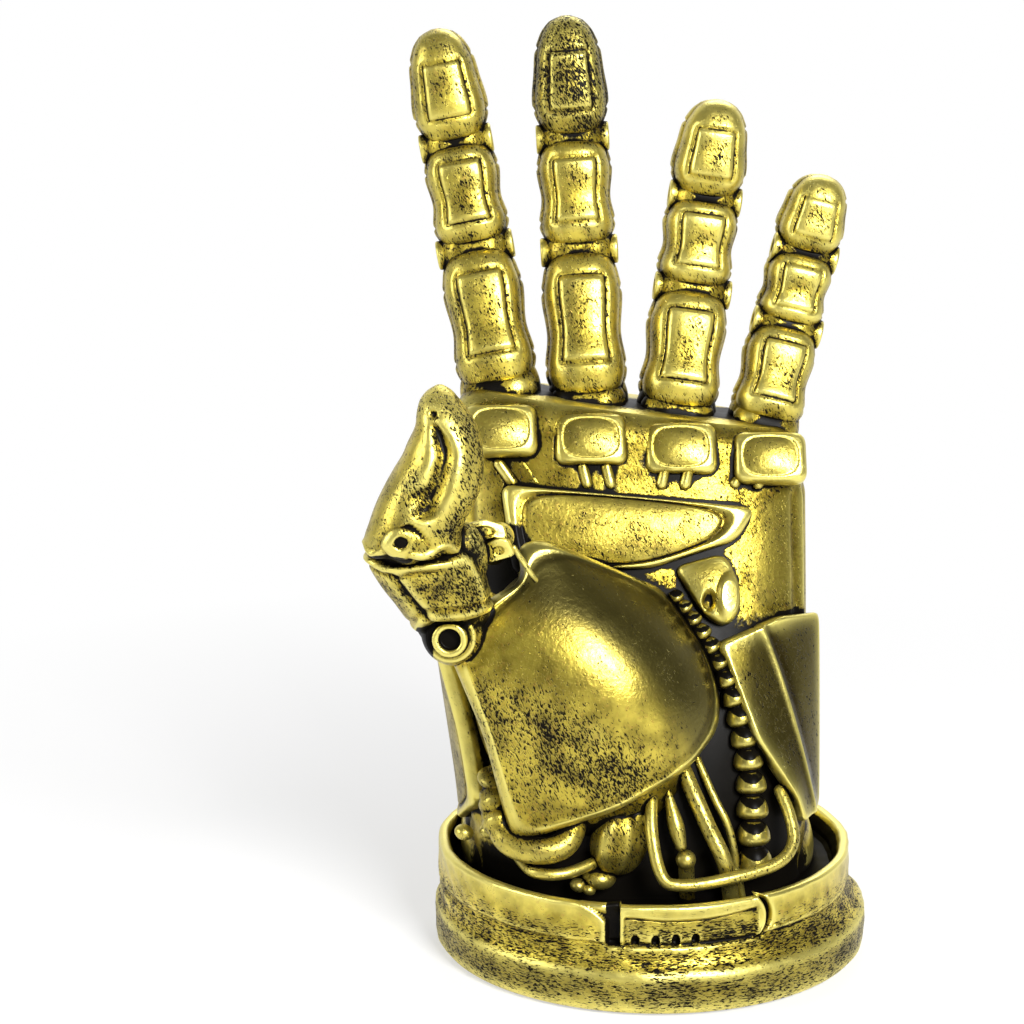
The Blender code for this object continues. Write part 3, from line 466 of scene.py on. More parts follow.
def palm_surfaces():
    """The plates and pads of the palm, the panel of the outer side and the thumb's side plate."""
    def fold(points, inward):
        """The panel's face drops back past a line from its top corner, with a ridge along the line."""
        over = (points[..., 0] - 15.9) * 0.96 - (54.4 - points[..., 2]) * 0.29
        return 0.35 * bell(over, -0.1, 0.3) - 0.7 * ease(over, 0.0, 1.4)

    def facets(points, inward):
        """A swollen lobe low on the block's outer side and a pocket beside it."""
        lobe = np.hypot((points[..., 0] - 11.3) / 2.3, (points[..., 2] - 57.8) / 3.8)
        pocket = np.hypot((points[..., 0] - 8.0) / 1.3, (points[..., 2] - 57.2) / 1.9)
        return 0.6 * (1.0 - ease(lobe, 0.55, 1.0)) - 0.9 * (1.0 - ease(pocket, 0.3, 1.0))

    across = ahead((-69, 67.6, 1.3), (9, 69.0, 1.3), (58, 74.6, 0.8), (69, 81.0, 0.4), (-75, 85.9, 0.7))
    block = ahead((22, 69.4, 1.4), (38, 60.3, 2.4), (50, 57.8, 2.2), (58, 60.0, 1.8), (59, 66.0, 1.3),
                  (51, 72.0, 0.9))
    panel = ahead((48.1, 54.2, 3.0), (67.5, 35.0, 1.9), (91, 21.5, -1.2), (95, 16.1, -2.0),
                  (108.5, 15.5, -11.2), (110, 56.3, -9.2), (86.5, 58.5, -0.6))
    side = beside((-100, 52.8, 4.0), (-80, 33.8, 0.6), (-74, 18.0, -0.9), (-12, 8.5, 1.9), (52, 9.2, 0.8),
                  (55, 31.0, 1.4), (60, 52.1, 3.2), (-10, 55.6, 5.0))
    corner = (-0.55, -1.0, 0.05)
    parts = [plate(across, -Y_WAY, rim=0.25, line=0.3),
             plate(block, -Y_WAY, sink=5.7, spacing=0.35, bulge=0.8, relief=facets),
             plate(panel, (0.6, -1.0, 0.1), bulge=0.9, rounding=1.2, roll=0.35, relief=fold),
             plate(side, -X_WAY, sink=5.2, rounding=2.5, line=0.4, rim=0.2),
             pin(on_skin((-87.0, 29.7, 0.3))[0], corner, 2.5, 1.6, 0.7),
             pin(on_skin((-93.0, 39.5, 0.3))[0], corner, 1.4, 0.7, 0.5)]
    for index in range(4):
        offset = INDEX_OFFSET + index * FINGER_PITCH
        half = FINGER_WIDTH * 0.475
        rows = ahead((0, 89.4, 0.9), (0, 89.4, 0.9), (0, 99.3, -1.2), (0, 99.3, -1.2))
        rows[:, 0] += offset + np.array([-half, half, half, -half])
        rows[:, 2] += KNUCKLE_SLOPE * offset * 0.8
        parts.append(plate(rows, -Y_WAY, sink=3.2, rim=0.2, spacing=0.5))
        share = 100 * offset / (PALM_WIDTH / 2.0)
        tendon = on_skin((share * 0.8, 84.5, -0.2), (share * 0.95, 90.5, 0.1))
        parts += [tube(tendon + X_WAY * aside, THIN_CABLE_RADIUS) for aside in (1.8, -1.8)]
    return parts


def back_surfaces():
    """The plates over the back of the hand and of the wrist, with rivets near their corners."""
    dorsal = behind((-79, 87.3, -0.6), (-88, 64.8, -1.6), (-52, 43.7, 0.4), (38, 43.7, 0.4), (80, 62.0, -1.6),
                    (73, 80.3, -0.6), (-1, 90.8, 0.2))
    wrist = behind((-65, 38.0, -2.2), (-71, 7.0, -3.0), (8, 4.9, 0.9), (72, 7.0, -3.0), (70, 38.0, -2.2),
                   (2, 40.1, 0.9))
    parts = [plate(dorsal, Y_WAY, bulge=2.2, rounding=3.0, rim=0.3, line=0.35, spacing=0.55),
             plate(wrist, Y_WAY, bulge=3.2, rounding=2.5, rim=0.3, line=0.35, spacing=0.55)]
    for corners, (skin, _) in zip((dorsal, wrist), list(parts)):
        for spot in corners + (corners.mean(axis=0) - corners) * 0.24:
            # A rivet sits on the rearmost of the plate's points within 0.8 mm of its place.
            near = np.hypot(skin[:, 0] - spot[0], skin[:, 2] - spot[2]) < 0.8
            parts.append(rivet((spot[0], skin[near, 1].max() - 0.1, spot[2]), Y_WAY, 1.0))
    return parts


def thumb_bone(foot, length, rows, count, relief=None):
    """A thumb bone: share, sway and lean in millimetres, width share, depth share."""
    shares = np.linspace(rows[0][0], rows[-1][0], count)
    sway, lean, wide, deep = through(rows, shares).T
    centres = foot + np.stack([sway, lean, length * shares], axis=1)
    carve = (lambda turns: relief(turns, shares)) if relief else None
    return loft(centres, X_WAY, Y_WAY, THUMB_WIDTH / 2 * wide, THUMB_DEPTH / 2 * deep, 2.3, 96, carve)


def ring_centre():
    """The place of the pin ring at the thumb's foot."""
    return ahead((-102.0, 61.2, THUMB_GRIP))[0] - X_WAY * 0.7


def thumb_surfaces():
    """The two thumb bones, their pins, the knuckle, its root and the bracket beside them."""
    ring = ring_centre()
    knuckle = ring + (0.7, THUMB_DEPTH * 0.4, 0.0)
    foot = knuckle + (-1.2, -0.4, 1.6)
    joint = foot + (-THUMB_SWAY, -THUMB_LEAN, THUMB_LINK_LENGTH - 0.4)

    def link_relief(turns, shares):
        """A lip round the top, a slanting groove down the front and a cut above the bottom lip."""
        share, turn = shares[:, None], turns[None, :] - (FRONT + TAU)
        turn = (turn + math.pi) % TAU - math.pi
        slant = turn + 0.52 + 0.42 * (share - 0.45)
        tall = within(share, 0.06, 0.14, 0.64, 0.70)
        groove = 1.1 * bell(slant, 0.0, 0.10) * tall
        border = 0.3 * bell(slant, 0.24, 0.10) * tall
        left = 1.0 - ease(turn, 0.1, 0.5)
        top = 0.765 - 0.07 * bell(turn, -0.55, 0.45)
        neck = 1.7 * ease(share, top + 0.03, top + 0.075) * within(turn, -1.9, -1.6, 0.35, 0.8)
        lip = (0.35 * bell(share, top, 0.03) - 0.4 * bell(share, top - 0.065, 0.022)) * left
        wave = -0.06 + 0.23 * ease(turn, -1.15, -0.15) + 0.03 * ease(turn, 0.2, 1.0)
        bottom = 0.3 * bell(share, wave, 0.035) - 0.3 * bell(share, wave + 0.085, 0.03)
        under = 1.4 * (1 - ease(share, wave - 0.09, wave - 0.045)) * (1 - ease(np.abs(turn), 1.2, 1.6))
        edge = 0.35 * bell(turn, 1.0, 0.14) * ease(share, 0.2, 0.3)
        return border - groove + lip + bottom + edge - under - neck

    def tip_relief(turns, shares):
        """A soft valley between two lobes, bent aside near the top, a dint beside it and a small hole."""
        share, turn = shares[:, None], turns[None, :] - (FRONT + TAU)
        turn = (turn + math.pi) % TAU - math.pi
        bend = 0.05 - 0.38 * ease(share, 0.55, 0.78)
        valley = 1.35 * bell(turn, bend, 0.19) * within(share, 0.16, 0.26, 0.66, 0.80)
        dint = 0.8 * bell(share, 0.33, 0.06) * bell(turn, -0.22, 0.26)
        hole = 0.9 * bell(share, 0.80, 0.022) * bell(turn, -0.30, 0.15)
        brow = 0.7 * bell(share, 0.15 - 0.30 * np.abs(turn + 0.15) ** 1.3, 0.018) * bell(turn, -0.15, 0.45)
        # The skirt ends in a scalloped edge, with a raised hem above it and a deep cut below.
        ends = -0.04 + 0.026 * np.cos(turn * 5.8 + 2.0) + 0.008 * turn
        hem = 0.3 * bell(share, ends + 0.03, 0.018)
        cut = 1.9 * (1 - ease(share, ends - 0.02, ends + 0.006)) * (1 - ease(np.abs(turn), 1.3, 1.7))
        return hem - valley - dint - hole - brow - cut

    lean = THUMB_LEAN
    parts = [
        thumb_bone(foot, THUMB_LINK_LENGTH, (
            (-0.14, 0.9, 0.3, 0.60, 0.66), (-0.03, 0.3, 0.0, 0.75, 0.77),
            (0.09, 0.0, -0.10 * lean, 0.86, 0.88), (0.24, -0.6, -0.23 * lean, 0.95, 0.92),
            (0.40, -1.5, -0.37 * lean, 1.03, 0.94), (0.55, -2.3, -0.50 * lean, 1.08, 0.95),
            (0.70, -3.2, -0.63 * lean, 1.08, 0.95), (0.82, -3.8, -0.74 * lean, 1.02, 0.90),
            (0.88, -4.0, -0.78 * lean, 0.88, 0.72)), 70, link_relief),
        thumb_bone(joint, THUMB_TIP_LENGTH, (
            (-0.11, 1.0, 0.0, 0.72, 0.72), (-0.07, 0.9, 0.0, 0.89, 0.88), (0.0, 0.8, 0.0, 0.91, 0.95),
            (0.12, 1.6, 0.0, 0.91, 1.0), (0.21, 2.5, 0.1, 0.93, 1.0), (0.32, 3.7, 0.2, 0.93, 1.0),
            (0.45, 4.8, 0.4, 0.85, 0.96), (0.52, 5.3, 0.55, 0.78, 0.92), (0.60, 5.6, 0.75, 0.71, 0.86),
            (0.70, 5.8, 1.0, 0.59, 0.77), (0.80, 5.3, 1.4, 0.48, 0.66), (0.87, 4.9, 1.65, 0.35, 0.50),
            (0.92, 4.9, 1.85, 0.20, 0.28), (0.945, 4.9, 1.95, 0.07, 0.10)), 120, tip_relief)]
    hinge = joint + (0.4, 0.0, 0.6)
    parts.append(tube([hinge + Y_WAY * THUMB_DEPTH * 0.39, hinge - Y_WAY * THUMB_DEPTH * 0.4],
                      THUMB_WIDTH * 0.24, way=Z_WAY, columns=40))
    face = np.array((-0.1, -1.0, 0.0))
    hub = joint + (-0.4, -THUMB_DEPTH * 0.46, 1.2)
    rise = np.array([-2.0, -0.3, 0.1, 0.45, 0.62, 0.66, 0.55, 0.1, -0.9, -1.0])
    wide = np.array([3.1, 3.0, 2.7, 2.2, 1.7, 1.35, 1.0, 0.86, 0.8, 0.2])
    ring_way = (-0.08, -1.0, 0.1)
    ball = (THUMB_WIDTH * 0.33, THUMB_DEPTH * 0.45, THUMB_WIDTH * 0.34)
    parts += [loft(hub + rise[:, None] * face, X_WAY + Z_WAY * 0.2, Z_WAY - X_WAY * 0.2, wide, wide * 0.86,
                   1.6, 44),
              ellipsoid(knuckle + (-0.2, 1.4, -0.6), ball, columns=70, rows=40),
              ellipsoid(foot + (2.9, -5.2, 11.0), (3.1, 3.8, 5.6), (-0.12, -0.35, 1.0), 60, 40),
              pin(ring, ring_way, 2.6, 1.65, 0.9),
              turned([(0.0, -1.9), (3.7, -1.9), (3.7, -1.1), (3.4, -0.9), (0.0, -0.9)], ring, ring_way, 48),
              ellipsoid(knuckle + (-3.2, 3.4, 2.4), (3.6, 4.2, 6.8), (-0.25, 0.0, 1.0), 48, 30)]
    root = ahead((-46.0, 49.3, 4.4))[0]
    share = np.linspace(0.0, 1.0, 40)
    deep = np.interp(share, (0.0, 0.35, 0.7, 1.0), (0.69, 0.56, 0.40, 0.32))
    tall = np.interp(share, (0.0, 0.35, 0.7, 1.0), (0.70, 0.60, 0.44, 0.34))
    centres = root + (knuckle + (0.6, 2.6, -1.5) - root) * share[:, None]
    parts.append(loft(centres, Y_WAY, Z_WAY, THUMB_DEPTH * deep, THUMB_WIDTH * tall, 2.2, 90))
    return parts + bracket_surfaces(foot)


def bracket_surfaces(foot):
    """The bracket between the thumb's link and the guard: an upper block, a chamfered lug and a strut."""
    upper = foot + np.array(((1.8, -3.0, 15.0), (4.4, -3.0, 12.4), (6.9, -3.0, 13.4), (8.9, -2.6, 13.0),
                             (8.4, -2.2, 14.9), (5.6, -2.4, 15.8)))
    lug = foot + np.array(((5.5, -3.4, 12.4), (7.6, -3.4, 13.3), (9.0, -3.4, 13.0), (9.9, -3.2, 11.2),
                           (9.7, -3.2, 10.6), (6.4, -3.4, 9.7), (5.6, -3.4, 10.6)))
    return [plate(upper, -Y_WAY, bulge=0.1, sink=7.0, rounding=0.35, roll=0.15, rim=0.2, step=1.2,
                  spacing=0.25),
            plate(lug, -Y_WAY, bulge=0.1, sink=6.0, rounding=0.4, roll=0.15, rim=0.25, step=1.4,
                  spacing=0.25),
            tube(foot + np.array(((9.6, -2.4, 12.0), (10.9, -2.0, 9.9), (12.4, -1.4, 7.4), (13.2, 0.2, 5.8))),
                 0.4, way=Y_WAY),
            tube(foot + np.array(((8.0, 0.5, 12.8), (7.4, 5.0, 11.0), (6.8, 9.5, 8.8), (6.6, 13.5, 6.5))),
                 2.2, way=X_WAY, columns=30)]


def guard_surfaces():
    """The domed guard and the heel behind it."""
    def hem(points, inward):
        """A rolled hem along the free edges: a raised band with a shallow valley inside it."""
        return 0.22 * (1.0 - ease(inward, 0.9, 1.4)) - 0.10 * bell(inward, 1.9, 0.5) + 0.0 * points[..., 0]

    heel = ellipsoid(ahead((-30, 40.8, -2.7))[0], (17.0, 15.5, 22.0), (-0.28, 0.1, 1.0), 120, 80)
    return [plate(guard_corners(), -Y_WAY, bulge=GUARD_BULGE, sink=7.5, rounding=2.6, roll=0.9, relief=hem,
                  spacing=0.4, lean=(0.45, 0.0, 0.12)), heel]


def cable_surfaces():
    """The cables, boot, knob, rods and wire loop that come down into the dish."""
    bent = ahead((-80, 28.0, -2.4), (-83, 21.5, 0.2), (-77, 14.9, 3.2), (-59, 13.2, 4.8), (-43, 15.0, 4.0),
                 (-35, 23.0, 0.8))
    low = ahead((-72, 9.5, -1.0), (-62, 8.4, 4.2), (-44, 8.3, 4.6), (-20, 10.0, 1.0))
    parts = [tube(bent, coiled, 36, spacing=0.2), tube(low, THIN_CABLE_RADIUS)]
    boot_ring = [CABLE_RADIUS * 1.75, CABLE_RADIUS * 1.75, CABLE_RADIUS * 0.85]
    for index in range(3):
        centre = ahead((-83 + index, 25.5 - 3.4 * index, -0.9 + 1.1 * index))[0]
        parts.append(ellipsoid(centre, boot_ring, (0.2, -0.3, 1.0)))
    for across, up, out, size in ((-102, 12.9, -4.0, 1.5), (-88, 13.6, -3.0, 1.4), (-37, 4.6, 2.4, 1.3),
                                  (-31, 3.8, 2.6, 1.1)):
        bud = ahead((across, up, out))[0]
        parts.append(ellipsoid(bud, (size, size, size * 0.8), (0.3, 0.0, 1.0), 24, 14))

    def crumpled(turns):
        """Leaf-like folds down the knob, three wide and seven fine ones round it, faded at its ends."""
        folds = 0.35 * np.cos(turns * 3.0 + 0.6) + 0.18 * np.cos(turns * 7.0 + 2.0)
        return folds[None, :] * np.sin(np.linspace(0.1, 3.0, 60))[:, None]

    parts.append(ellipsoid(ahead((-14, 13.8, 1.2))[0], (4.2, 4.0, 5.7), (0.18, 0.0, 1.0), 90, 60, crumpled))
    parts.append(ellipsoid(ahead((-5, 18.5, 1.4))[0], (2.6, 2.4, 3.0), (0.3, 0.0, 1.0), 50, 30))
    parts.append(ellipsoid(ahead((-25, 5.6, 1.2))[0], (2.6, 2.4, 1.8)))
    loop = ahead((6, 26.2, 3.1), (5, 17.6, 5.8), (10, 9.0, 7.2), (21, 7.2, 7.6), (46, 8.0, 6.6),
                 (75, 9.7, 3.6), (86, 13.0, 1.2), (85, 18.0, -0.6), (79, 23.5, -2.4))
    parts.append(tube(loop, LOOP_RADIUS, 24))
    taper = ahead((13.2, 27.0, 2.2), (18.0, 19.4, 2.9), (22.5, 12.3, 3.5))
    long = np.linalg.norm(taper[-1] - taper[0])
    parts.append(tube(taper, lambda travel: 0.55 + 0.7 * bell(travel / long, 0.66, 0.3), 28))
    ball = ahead((24.4, 10.7, 3.6))[0]
    parts.append(ellipsoid(ball, [CABLE_RADIUS * 0.95] * 3))
    parts.append(tube([ball, ahead((26, -1.4, 0.0))[0]], CABLE_RADIUS * 0.75))
    rod = ahead((21, 31.0, 0.8), (36.3, 18.3, 2.9), (47, 9.5, 3.9), (51, -1.4, 1.0))
    wire = ahead((30.5, 31.5, -0.8), (41.5, 22.6, 1.0), (50.5, 15.0, 1.3), (58, -1.4, 0.0))
    parts += [tube(rod, CABLE_RADIUS * 0.78), tube(wire, THIN_CABLE_RADIUS * 0.67)]
    return parts


def coiled(travel):
    """The bent cable's radius: two soft swellings where it turns, with a narrow waist between them."""
    size = CABLE_RADIUS * 1.3
    swell = bell(travel, 6.6, 1.1) + bell(travel, 9.6, 0.9)
    return size + 0.28 * size * swell - 0.25 * bell(travel, 8.2, 0.35)


def bead_route():
    """The beads' curve, the length to each bead's centre and the beads' radii."""
    points = on_skin((20, 64.2, 1.4), (31.5, 58.5, 1.6), (43.5, 51.5, 1.6), (53, 43.7, 1.5), (59, 35.8, 1.2),
                     (63, 25.4, 1.2), (64, 13.4, 2.1), (65, 6.1, 2.2))
    radii = np.linspace(BEAD_FIRST, BEAD_LAST, BEAD_COUNT)
    return points, route(points)[1][-1] * (np.cumsum(radii) - radii / 2.0) / radii.sum(), radii


def bead_surface():
    """The string of beads, each a cup that swells to its lower end: half an egg over a thin cord."""
    points, centres, radii = bead_route()

    def girth(travel):
        """Each bead's outline about its place, blunt below and drawn out above."""
        away = (travel[:, None] - centres[None, :]) / (radii * 0.9)
        away = np.where(away < 0.35, (away - 0.35) / 1.35, (away - 0.35) / 0.62)
        rounds = radii * np.sqrt(np.clip(1.0 - away**2, 0.0, 1.0))
        return np.maximum(rounds.max(axis=1), radii[0] * 0.4)

    return tube(points, girth, 40, spacing=0.1, rounded=False)


BONE = ((0.0, 0.50), (0.04, 0.74), (0.14, 0.96), (0.45, 0.93), (0.80, 0.98), (0.93, 0.80), (1.0, 0.50))
FINGERTIP = ((0.0, 0.50), (0.04, 0.74), (0.14, 0.96), (0.55, 1.0), (0.80, 0.84), (0.92, 0.60),
             (0.97, 0.40), (1.0, 0.12))


def finger_surfaces(index):
    """One finger: three bones with a shell over each back, hinge barrels and pin heads."""
    centre_x, centre_y = (float(value) for value in core_at(1.0)[:2])
    offset = INDEX_OFFSET + index * FINGER_PITCH
    size = FINGER_SIZES[index]
    at = np.array((centre_x + offset, centre_y, FLOOR + HAND_HEIGHT - 1.0 + KNUCKLE_SLOPE * offset))
    fan = FINGER_FANS[index]
    across = np.array((math.cos(fan), 0.0, -math.sin(fan)))
    upward = np.array((math.sin(fan), 0.0, math.cos(fan)))
    root = (FINGER_WIDTH * 0.55 * size, FINGER_DEPTH * 0.55, FINGER_DEPTH * 0.62)
    parts = [ellipsoid(at + Y_WAY * (FINGER_DEPTH * 0.25), root, columns=60, rows=36)]
    for number in range(3):
        lean = BONE_LEANS[number]
        along = upward * math.cos(lean) + Y_WAY * math.sin(lean)
        rear = Y_WAY * math.cos(lean) - upward * math.sin(lean)
        length = FINGER_REACHES[index] * BONE_SHARES[number]
        half_width = FINGER_WIDTH / 2 * BONE_SIZES[number] * size
        half_depth = FINGER_DEPTH / 2 * BONE_SIZES[number] * size
        last = number == 2
        shares = np.linspace(0.02, 1.0, int(length / 0.40))
        full = through(FINGERTIP if last else BONE, shares)[:, 0]
        centres = at + along * (length * shares)[:, None]

        def front_relief(turns, shares=shares, last=last):
            """Two grooves up the front, joined by a cross groove at each end, round a raised pad."""
            share, turn = shares[:, None], np.abs((turns[None, :] - FRONT + math.pi) % TAU - math.pi)
            low, high = 0.24, 0.72 if last else 0.80
            tall = within(share, low - 0.02, low + 0.02, high - 0.02, high + 0.02)
            sides = bell(turn, 0.62, 0.07) * tall
            ends = (bell(share, low, 0.014) + bell(share, high, 0.014)) * (1 - ease(turn, 0.58, 0.68))
            return -0.5 * np.maximum(sides, ends) + 0.25 * tall * (1 - ease(turn, 0.45, 0.6))

        def shell_relief(turns, shares=shares):
            """A cut line round the shell near each end."""
            share = shares[:, None] + 0.0 * turns[None, :]
            return -0.35 * (bell(share, 0.24, 0.016) + bell(share, 0.74, 0.016))

        parts.append(loft(centres, across, rear, half_width * full, half_depth * full, 2.6, 76, front_relief))
        cover = centres + rear * (half_depth * 0.42 * full)[:, None]
        cover = cover + along * (0.0 if last else SHELL_STEP)
        parts.append(loft(cover, across, rear, (half_width + SHELL_STEP) * full,
                          half_depth * 0.62 * full + SHELL_STEP * full, 2.4, 76, shell_relief))
        ends = [at - across * half_width, at + across * half_width]
        parts.append(tube(ends, half_depth * 0.78, 32, way=Y_WAY))
        if number:
            parts += [pin(end, across * side, PIN_RADIUS, PIN_HOLE, PIN_RISE)
                      for end, side in zip(ends, (-1.0, 1.0))]
        at = at + along * length
    return parts


def merged(parts):
    """Points and triangles of several closed surfaces as one pair of arrays."""
    starts = np.concatenate([[0], np.cumsum([len(points) for points, _ in parts])])
    points = np.concatenate([points for points, _ in parts])
    return points, np.concatenate([faces + start for (_, faces), start in zip(parts, starts)])


def point_normals(points, faces):
    """Each point's normal: the area normals of its triangles added up and brought to length one."""
    corner = points[faces]
    area = np.cross(corner[:, 1] - corner[:, 0], corner[:, 2] - corner[:, 0]) / 2.0
    total = [np.bincount(faces.ravel(), np.repeat(area[:, axis], 3), len(points)) for axis in range(3)]
    return unit(np.stack(total, axis=1)), area


# The grid for the hollows and edges: its cell, and the room round the casting, in millimetres.
CELL = 0.5
MARGIN = 8.0


def sample(field, low, spots_at):
    """Values of a field between its cells, each the mean of its eight neighbours weighted by nearness."""
    place = (spots_at - low) / CELL
    cell = np.clip(np.floor(place).astype(int), 0, np.array(field.shape) - 2)
    part = np.clip(place - cell, 0.0, 1.0)
    total = np.zeros(len(spots_at))
    for corner in np.ndindex(2, 2, 2):
        weight = np.prod(np.where(corner, part, 1.0 - part), axis=1)
        total += weight * field[tuple((cell + corner).T)]
    return total


def solid_fields(points, faces, area, sizes):
    """How full of resin the space about each cell is, blurred over each of the sizes in millimetres.

    The area normals are spread over a grid of cells. A field whose slope they are is 1 inside a form,
    2 where two forms overlap and 0 outside, and its Fourier terms are i k.V / k^2. It is cut off at 1,
    which joins the forms, and blurred by Gaussians exp(-(k s)^2 / 2).
    """
    low = points.min(axis=0) - MARGIN
    shape = tuple(np.ceil((points.max(axis=0) + MARGIN - low) / CELL).astype(int) + 1)
    corner = points[faces]
    weights = ((1 / 3, 1 / 3, 1 / 3), (0.6, 0.2, 0.2), (0.2, 0.6, 0.2), (0.2, 0.2, 0.6))
    vector = np.zeros((3,) + shape)
    for weight in weights:
        place = (np.einsum("ijk,j->ik", corner, weight) - low) / CELL
        cell = np.floor(place).astype(int)
        part = place - cell
        for step in np.ndindex(2, 2, 2):
            share = np.prod(np.where(step, part, 1.0 - part), axis=1) / len(weights) / CELL**3
            flat = np.ravel_multi_index(tuple((cell + step).T), shape)
            for axis in range(3):
                vector[axis] += np.bincount(flat, share * area[:, axis], vector[axis].size).reshape(shape)
    waves = [TAU * np.fft.fftfreq(shape[0], CELL)[:, None, None],
             TAU * np.fft.fftfreq(shape[1], CELL)[None, :, None],
             TAU * np.fft.rfftfreq(shape[2], CELL)[None, None, :]]
    square = sum(wave**2 for wave in waves)
    square[0, 0, 0] = 1.0
    terms = sum(1j * wave * np.fft.rfftn(vector[axis]) for axis, wave in enumerate(waves)) / square
    full = np.fft.irfftn(terms, shape)
    full -= full[:3].mean()
    full = np.clip((full - 0.5) * 1.6 + 0.5, 0.0, 1.0)
    terms = np.fft.rfftn(full)
    return low, [np.fft.irfftn(terms * np.exp(-square * size**2 / 2.0), shape) for size in sizes]


def linear(code):
    """A colour's sRGB hex value as linear numbers, with full opacity."""
    shares = np.array([int(code[at:at + 2], 16) / 255.0 for at in (1, 3, 5)])
    curved = ((shares + 0.055) / 1.055) ** 2.4
    return [*np.where(shares <= 0.04045, shares / 12.92, curved).tolist(), 1.0]


def add(tree, kind, inputs=(), output=0, **properties):
    """A new node's output. Each input, by name or number, is a value or another node's output."""
    node = tree.nodes.new("ShaderNode" + kind)
    for name, value in properties.items():
        setattr(node, name, value)
    for name, value in inputs.items() if isinstance(inputs, dict) else enumerate(inputs):
        if isinstance(value, bpy.types.NodeSocket):
            tree.links.new(value, node.inputs[name])
        else:
            node.inputs[name].default_value = value
    return node.outputs[output]


def antique_gold_paint(title, turn, stroke, deep, light):
    """Gold bronze paint dry-brushed over glossy black on cast resin.

    Bronze powder gives a yellow metal sheen that goes from a deep to a light gold in cloudy patches. It
    is broken up by short dark dashes where the brush skipped. Black wash stays in every hollow, and the
    same black is laid as painted shade in deep recesses and gaps. Thinly laid gold over black is dark
    bronze, painted shade as well as thinner paint. Raised edges are rubbed bright. The stroke is a dash's
    size in millimetres along x, y and z, turned by the given angles.
    """
    paint = bpy.data.materials.new(title)
    paint.use_nodes = True
    tree = paint.node_tree
    shader = tree.nodes["Principled BSDF"]
    place = add(tree, "TexCoord", output="Object")
    # Black wash with painted shade, worn edges, dash grit, and thinly laid gold with painted shade.
    wash_and_shade, wear, grit, thin_gold_and_shade = (add(tree, "Attribute", output="Fac", attribute_name=name)
                              for name in ("wash_and_shade", "wear", "grit", "thin_gold_and_shade"))
    # Brush dashes: real ones are about 0.2 mm wide, drawn a little coarser so that they show.
    slant = add(tree, "Mapping", {"Vector": place, "Rotation": turn, "Scale": [size * MM for size in stroke]},
                vector_type="TEXTURE")
    dashes = add(tree, "TexNoise", {"Vector": slant, "Scale": 1.0, "Detail": 2.0, "Roughness": 0.55,
                                    "Distortion": 0.7}, "Fac")
    # Cloudy patches of thicker and thinner paint, 4 mm across, and a grain of 0.7 mm.
    patches, grain = (add(tree, "TexNoise", {"Vector": place, "Scale": 1.0 / (size * MM), "Detail": 3.0,
                                             "Roughness": 0.6}, "Fac") for size in (4.0, 0.7))

    # The gold holds where the dashes' noise is high. Grit lets it skip, thick patches and edges keep it.
    kept = dashes
    for source, weight in ((grit, -0.22), (patches, 0.27), (wear, 0.13)):
        kept = add(tree, "Math", (source, weight, kept), operation="MULTIPLY_ADD")
    brushed = add(tree, "MapRange", {"Value": kept, "From Min": 0.355, "From Max": 0.465},
                  interpolation_type="SMOOTHSTEP")
    # The border of the black wash and painted shade is broken up by the grain, and it thins out over about
    # half a millimetre.
    ragged = add(tree, "Math", (grain, -0.9, wash_and_shade), operation="MULTIPLY_ADD")
    dry = add(tree, "MapRange", {"Value": ragged, "From Min": 0.27, "From Max": -0.07},
              interpolation_type="SMOOTHSTEP")
    cover = add(tree, "Math", (brushed, dry), operation="MULTIPLY")

    # From deep to light gold, with warmer grains. Thinly laid gold over black is dark bronze, which also
    # stands for painted shade, and worn gold is pale.
    tone = add(tree, "MapRange", {"Value": patches, "From Min": 0.38, "From Max": 0.62})
    warm = add(tree, "MapRange", {"Value": grain, "From Min": 0.56, "From Max": 0.72, "To Max": 0.7})
    rubbed = add(tree, "Math", (wear, 0.8), operation="MULTIPLY", use_clamp=True)
    colour = linear(deep)
    # A Mix node's inputs 0, 6 and 7 are the share and the two colours, and its output 2 is their mix.
    for share, code in ((tone, light), (warm, "#B08A3A"), (thin_gold_and_shade, "#3A3110"), (rubbed, "#E8DB78")):
        colour = add(tree, "Mix", {0: share, 6: colour, 7: linear(code)}, 2, data_type="RGBA")
    colour = add(tree, "Mix", {0: cover, 6: linear("#0C0A07"), 7: colour}, 2, data_type="RGBA")

    rough = add(tree, "Math", (grit, 0.11, 0.38), operation="MULTIPLY_ADD")
    rough = add(tree, "Math", (patches, -0.2, rough), operation="MULTIPLY_ADD", use_clamp=True)
    grainy = add(tree, "Math", (grain, 0.6, 0.6), operation="MULTIPLY_ADD")
    height = add(tree, "Math", (cover, grainy), operation="MULTIPLY")
    for name, source in (
            ("Base Color", colour), ("Roughness", rough),
            ("Metallic", add(tree, "Math", (cover, 0.9), operation="MULTIPLY")),
            ("Specular IOR Level", add(tree, "Math", (cover, 0.4, 0.05), operation="MULTIPLY_ADD")),
            ("Normal", add(tree, "Bump", {"Strength": 0.6, "Distance": 0.00016, "Height": height}))):
        tree.links.new(source, shader.inputs[name])
    return paint


def from_spot(points, centre, half_sizes):
    """Distance from a centre as a share of the ellipsoid with these half sizes."""
    return np.linalg.norm((points - centre) / half_sizes, axis=1)


def along_band(points):
    """Length round the collar from the start of its band."""
    return (np.arctan2(points[:, 1], points[:, 0] - COLLAR_SHIFT) - BAND_START) * COLLAR_RADIUS


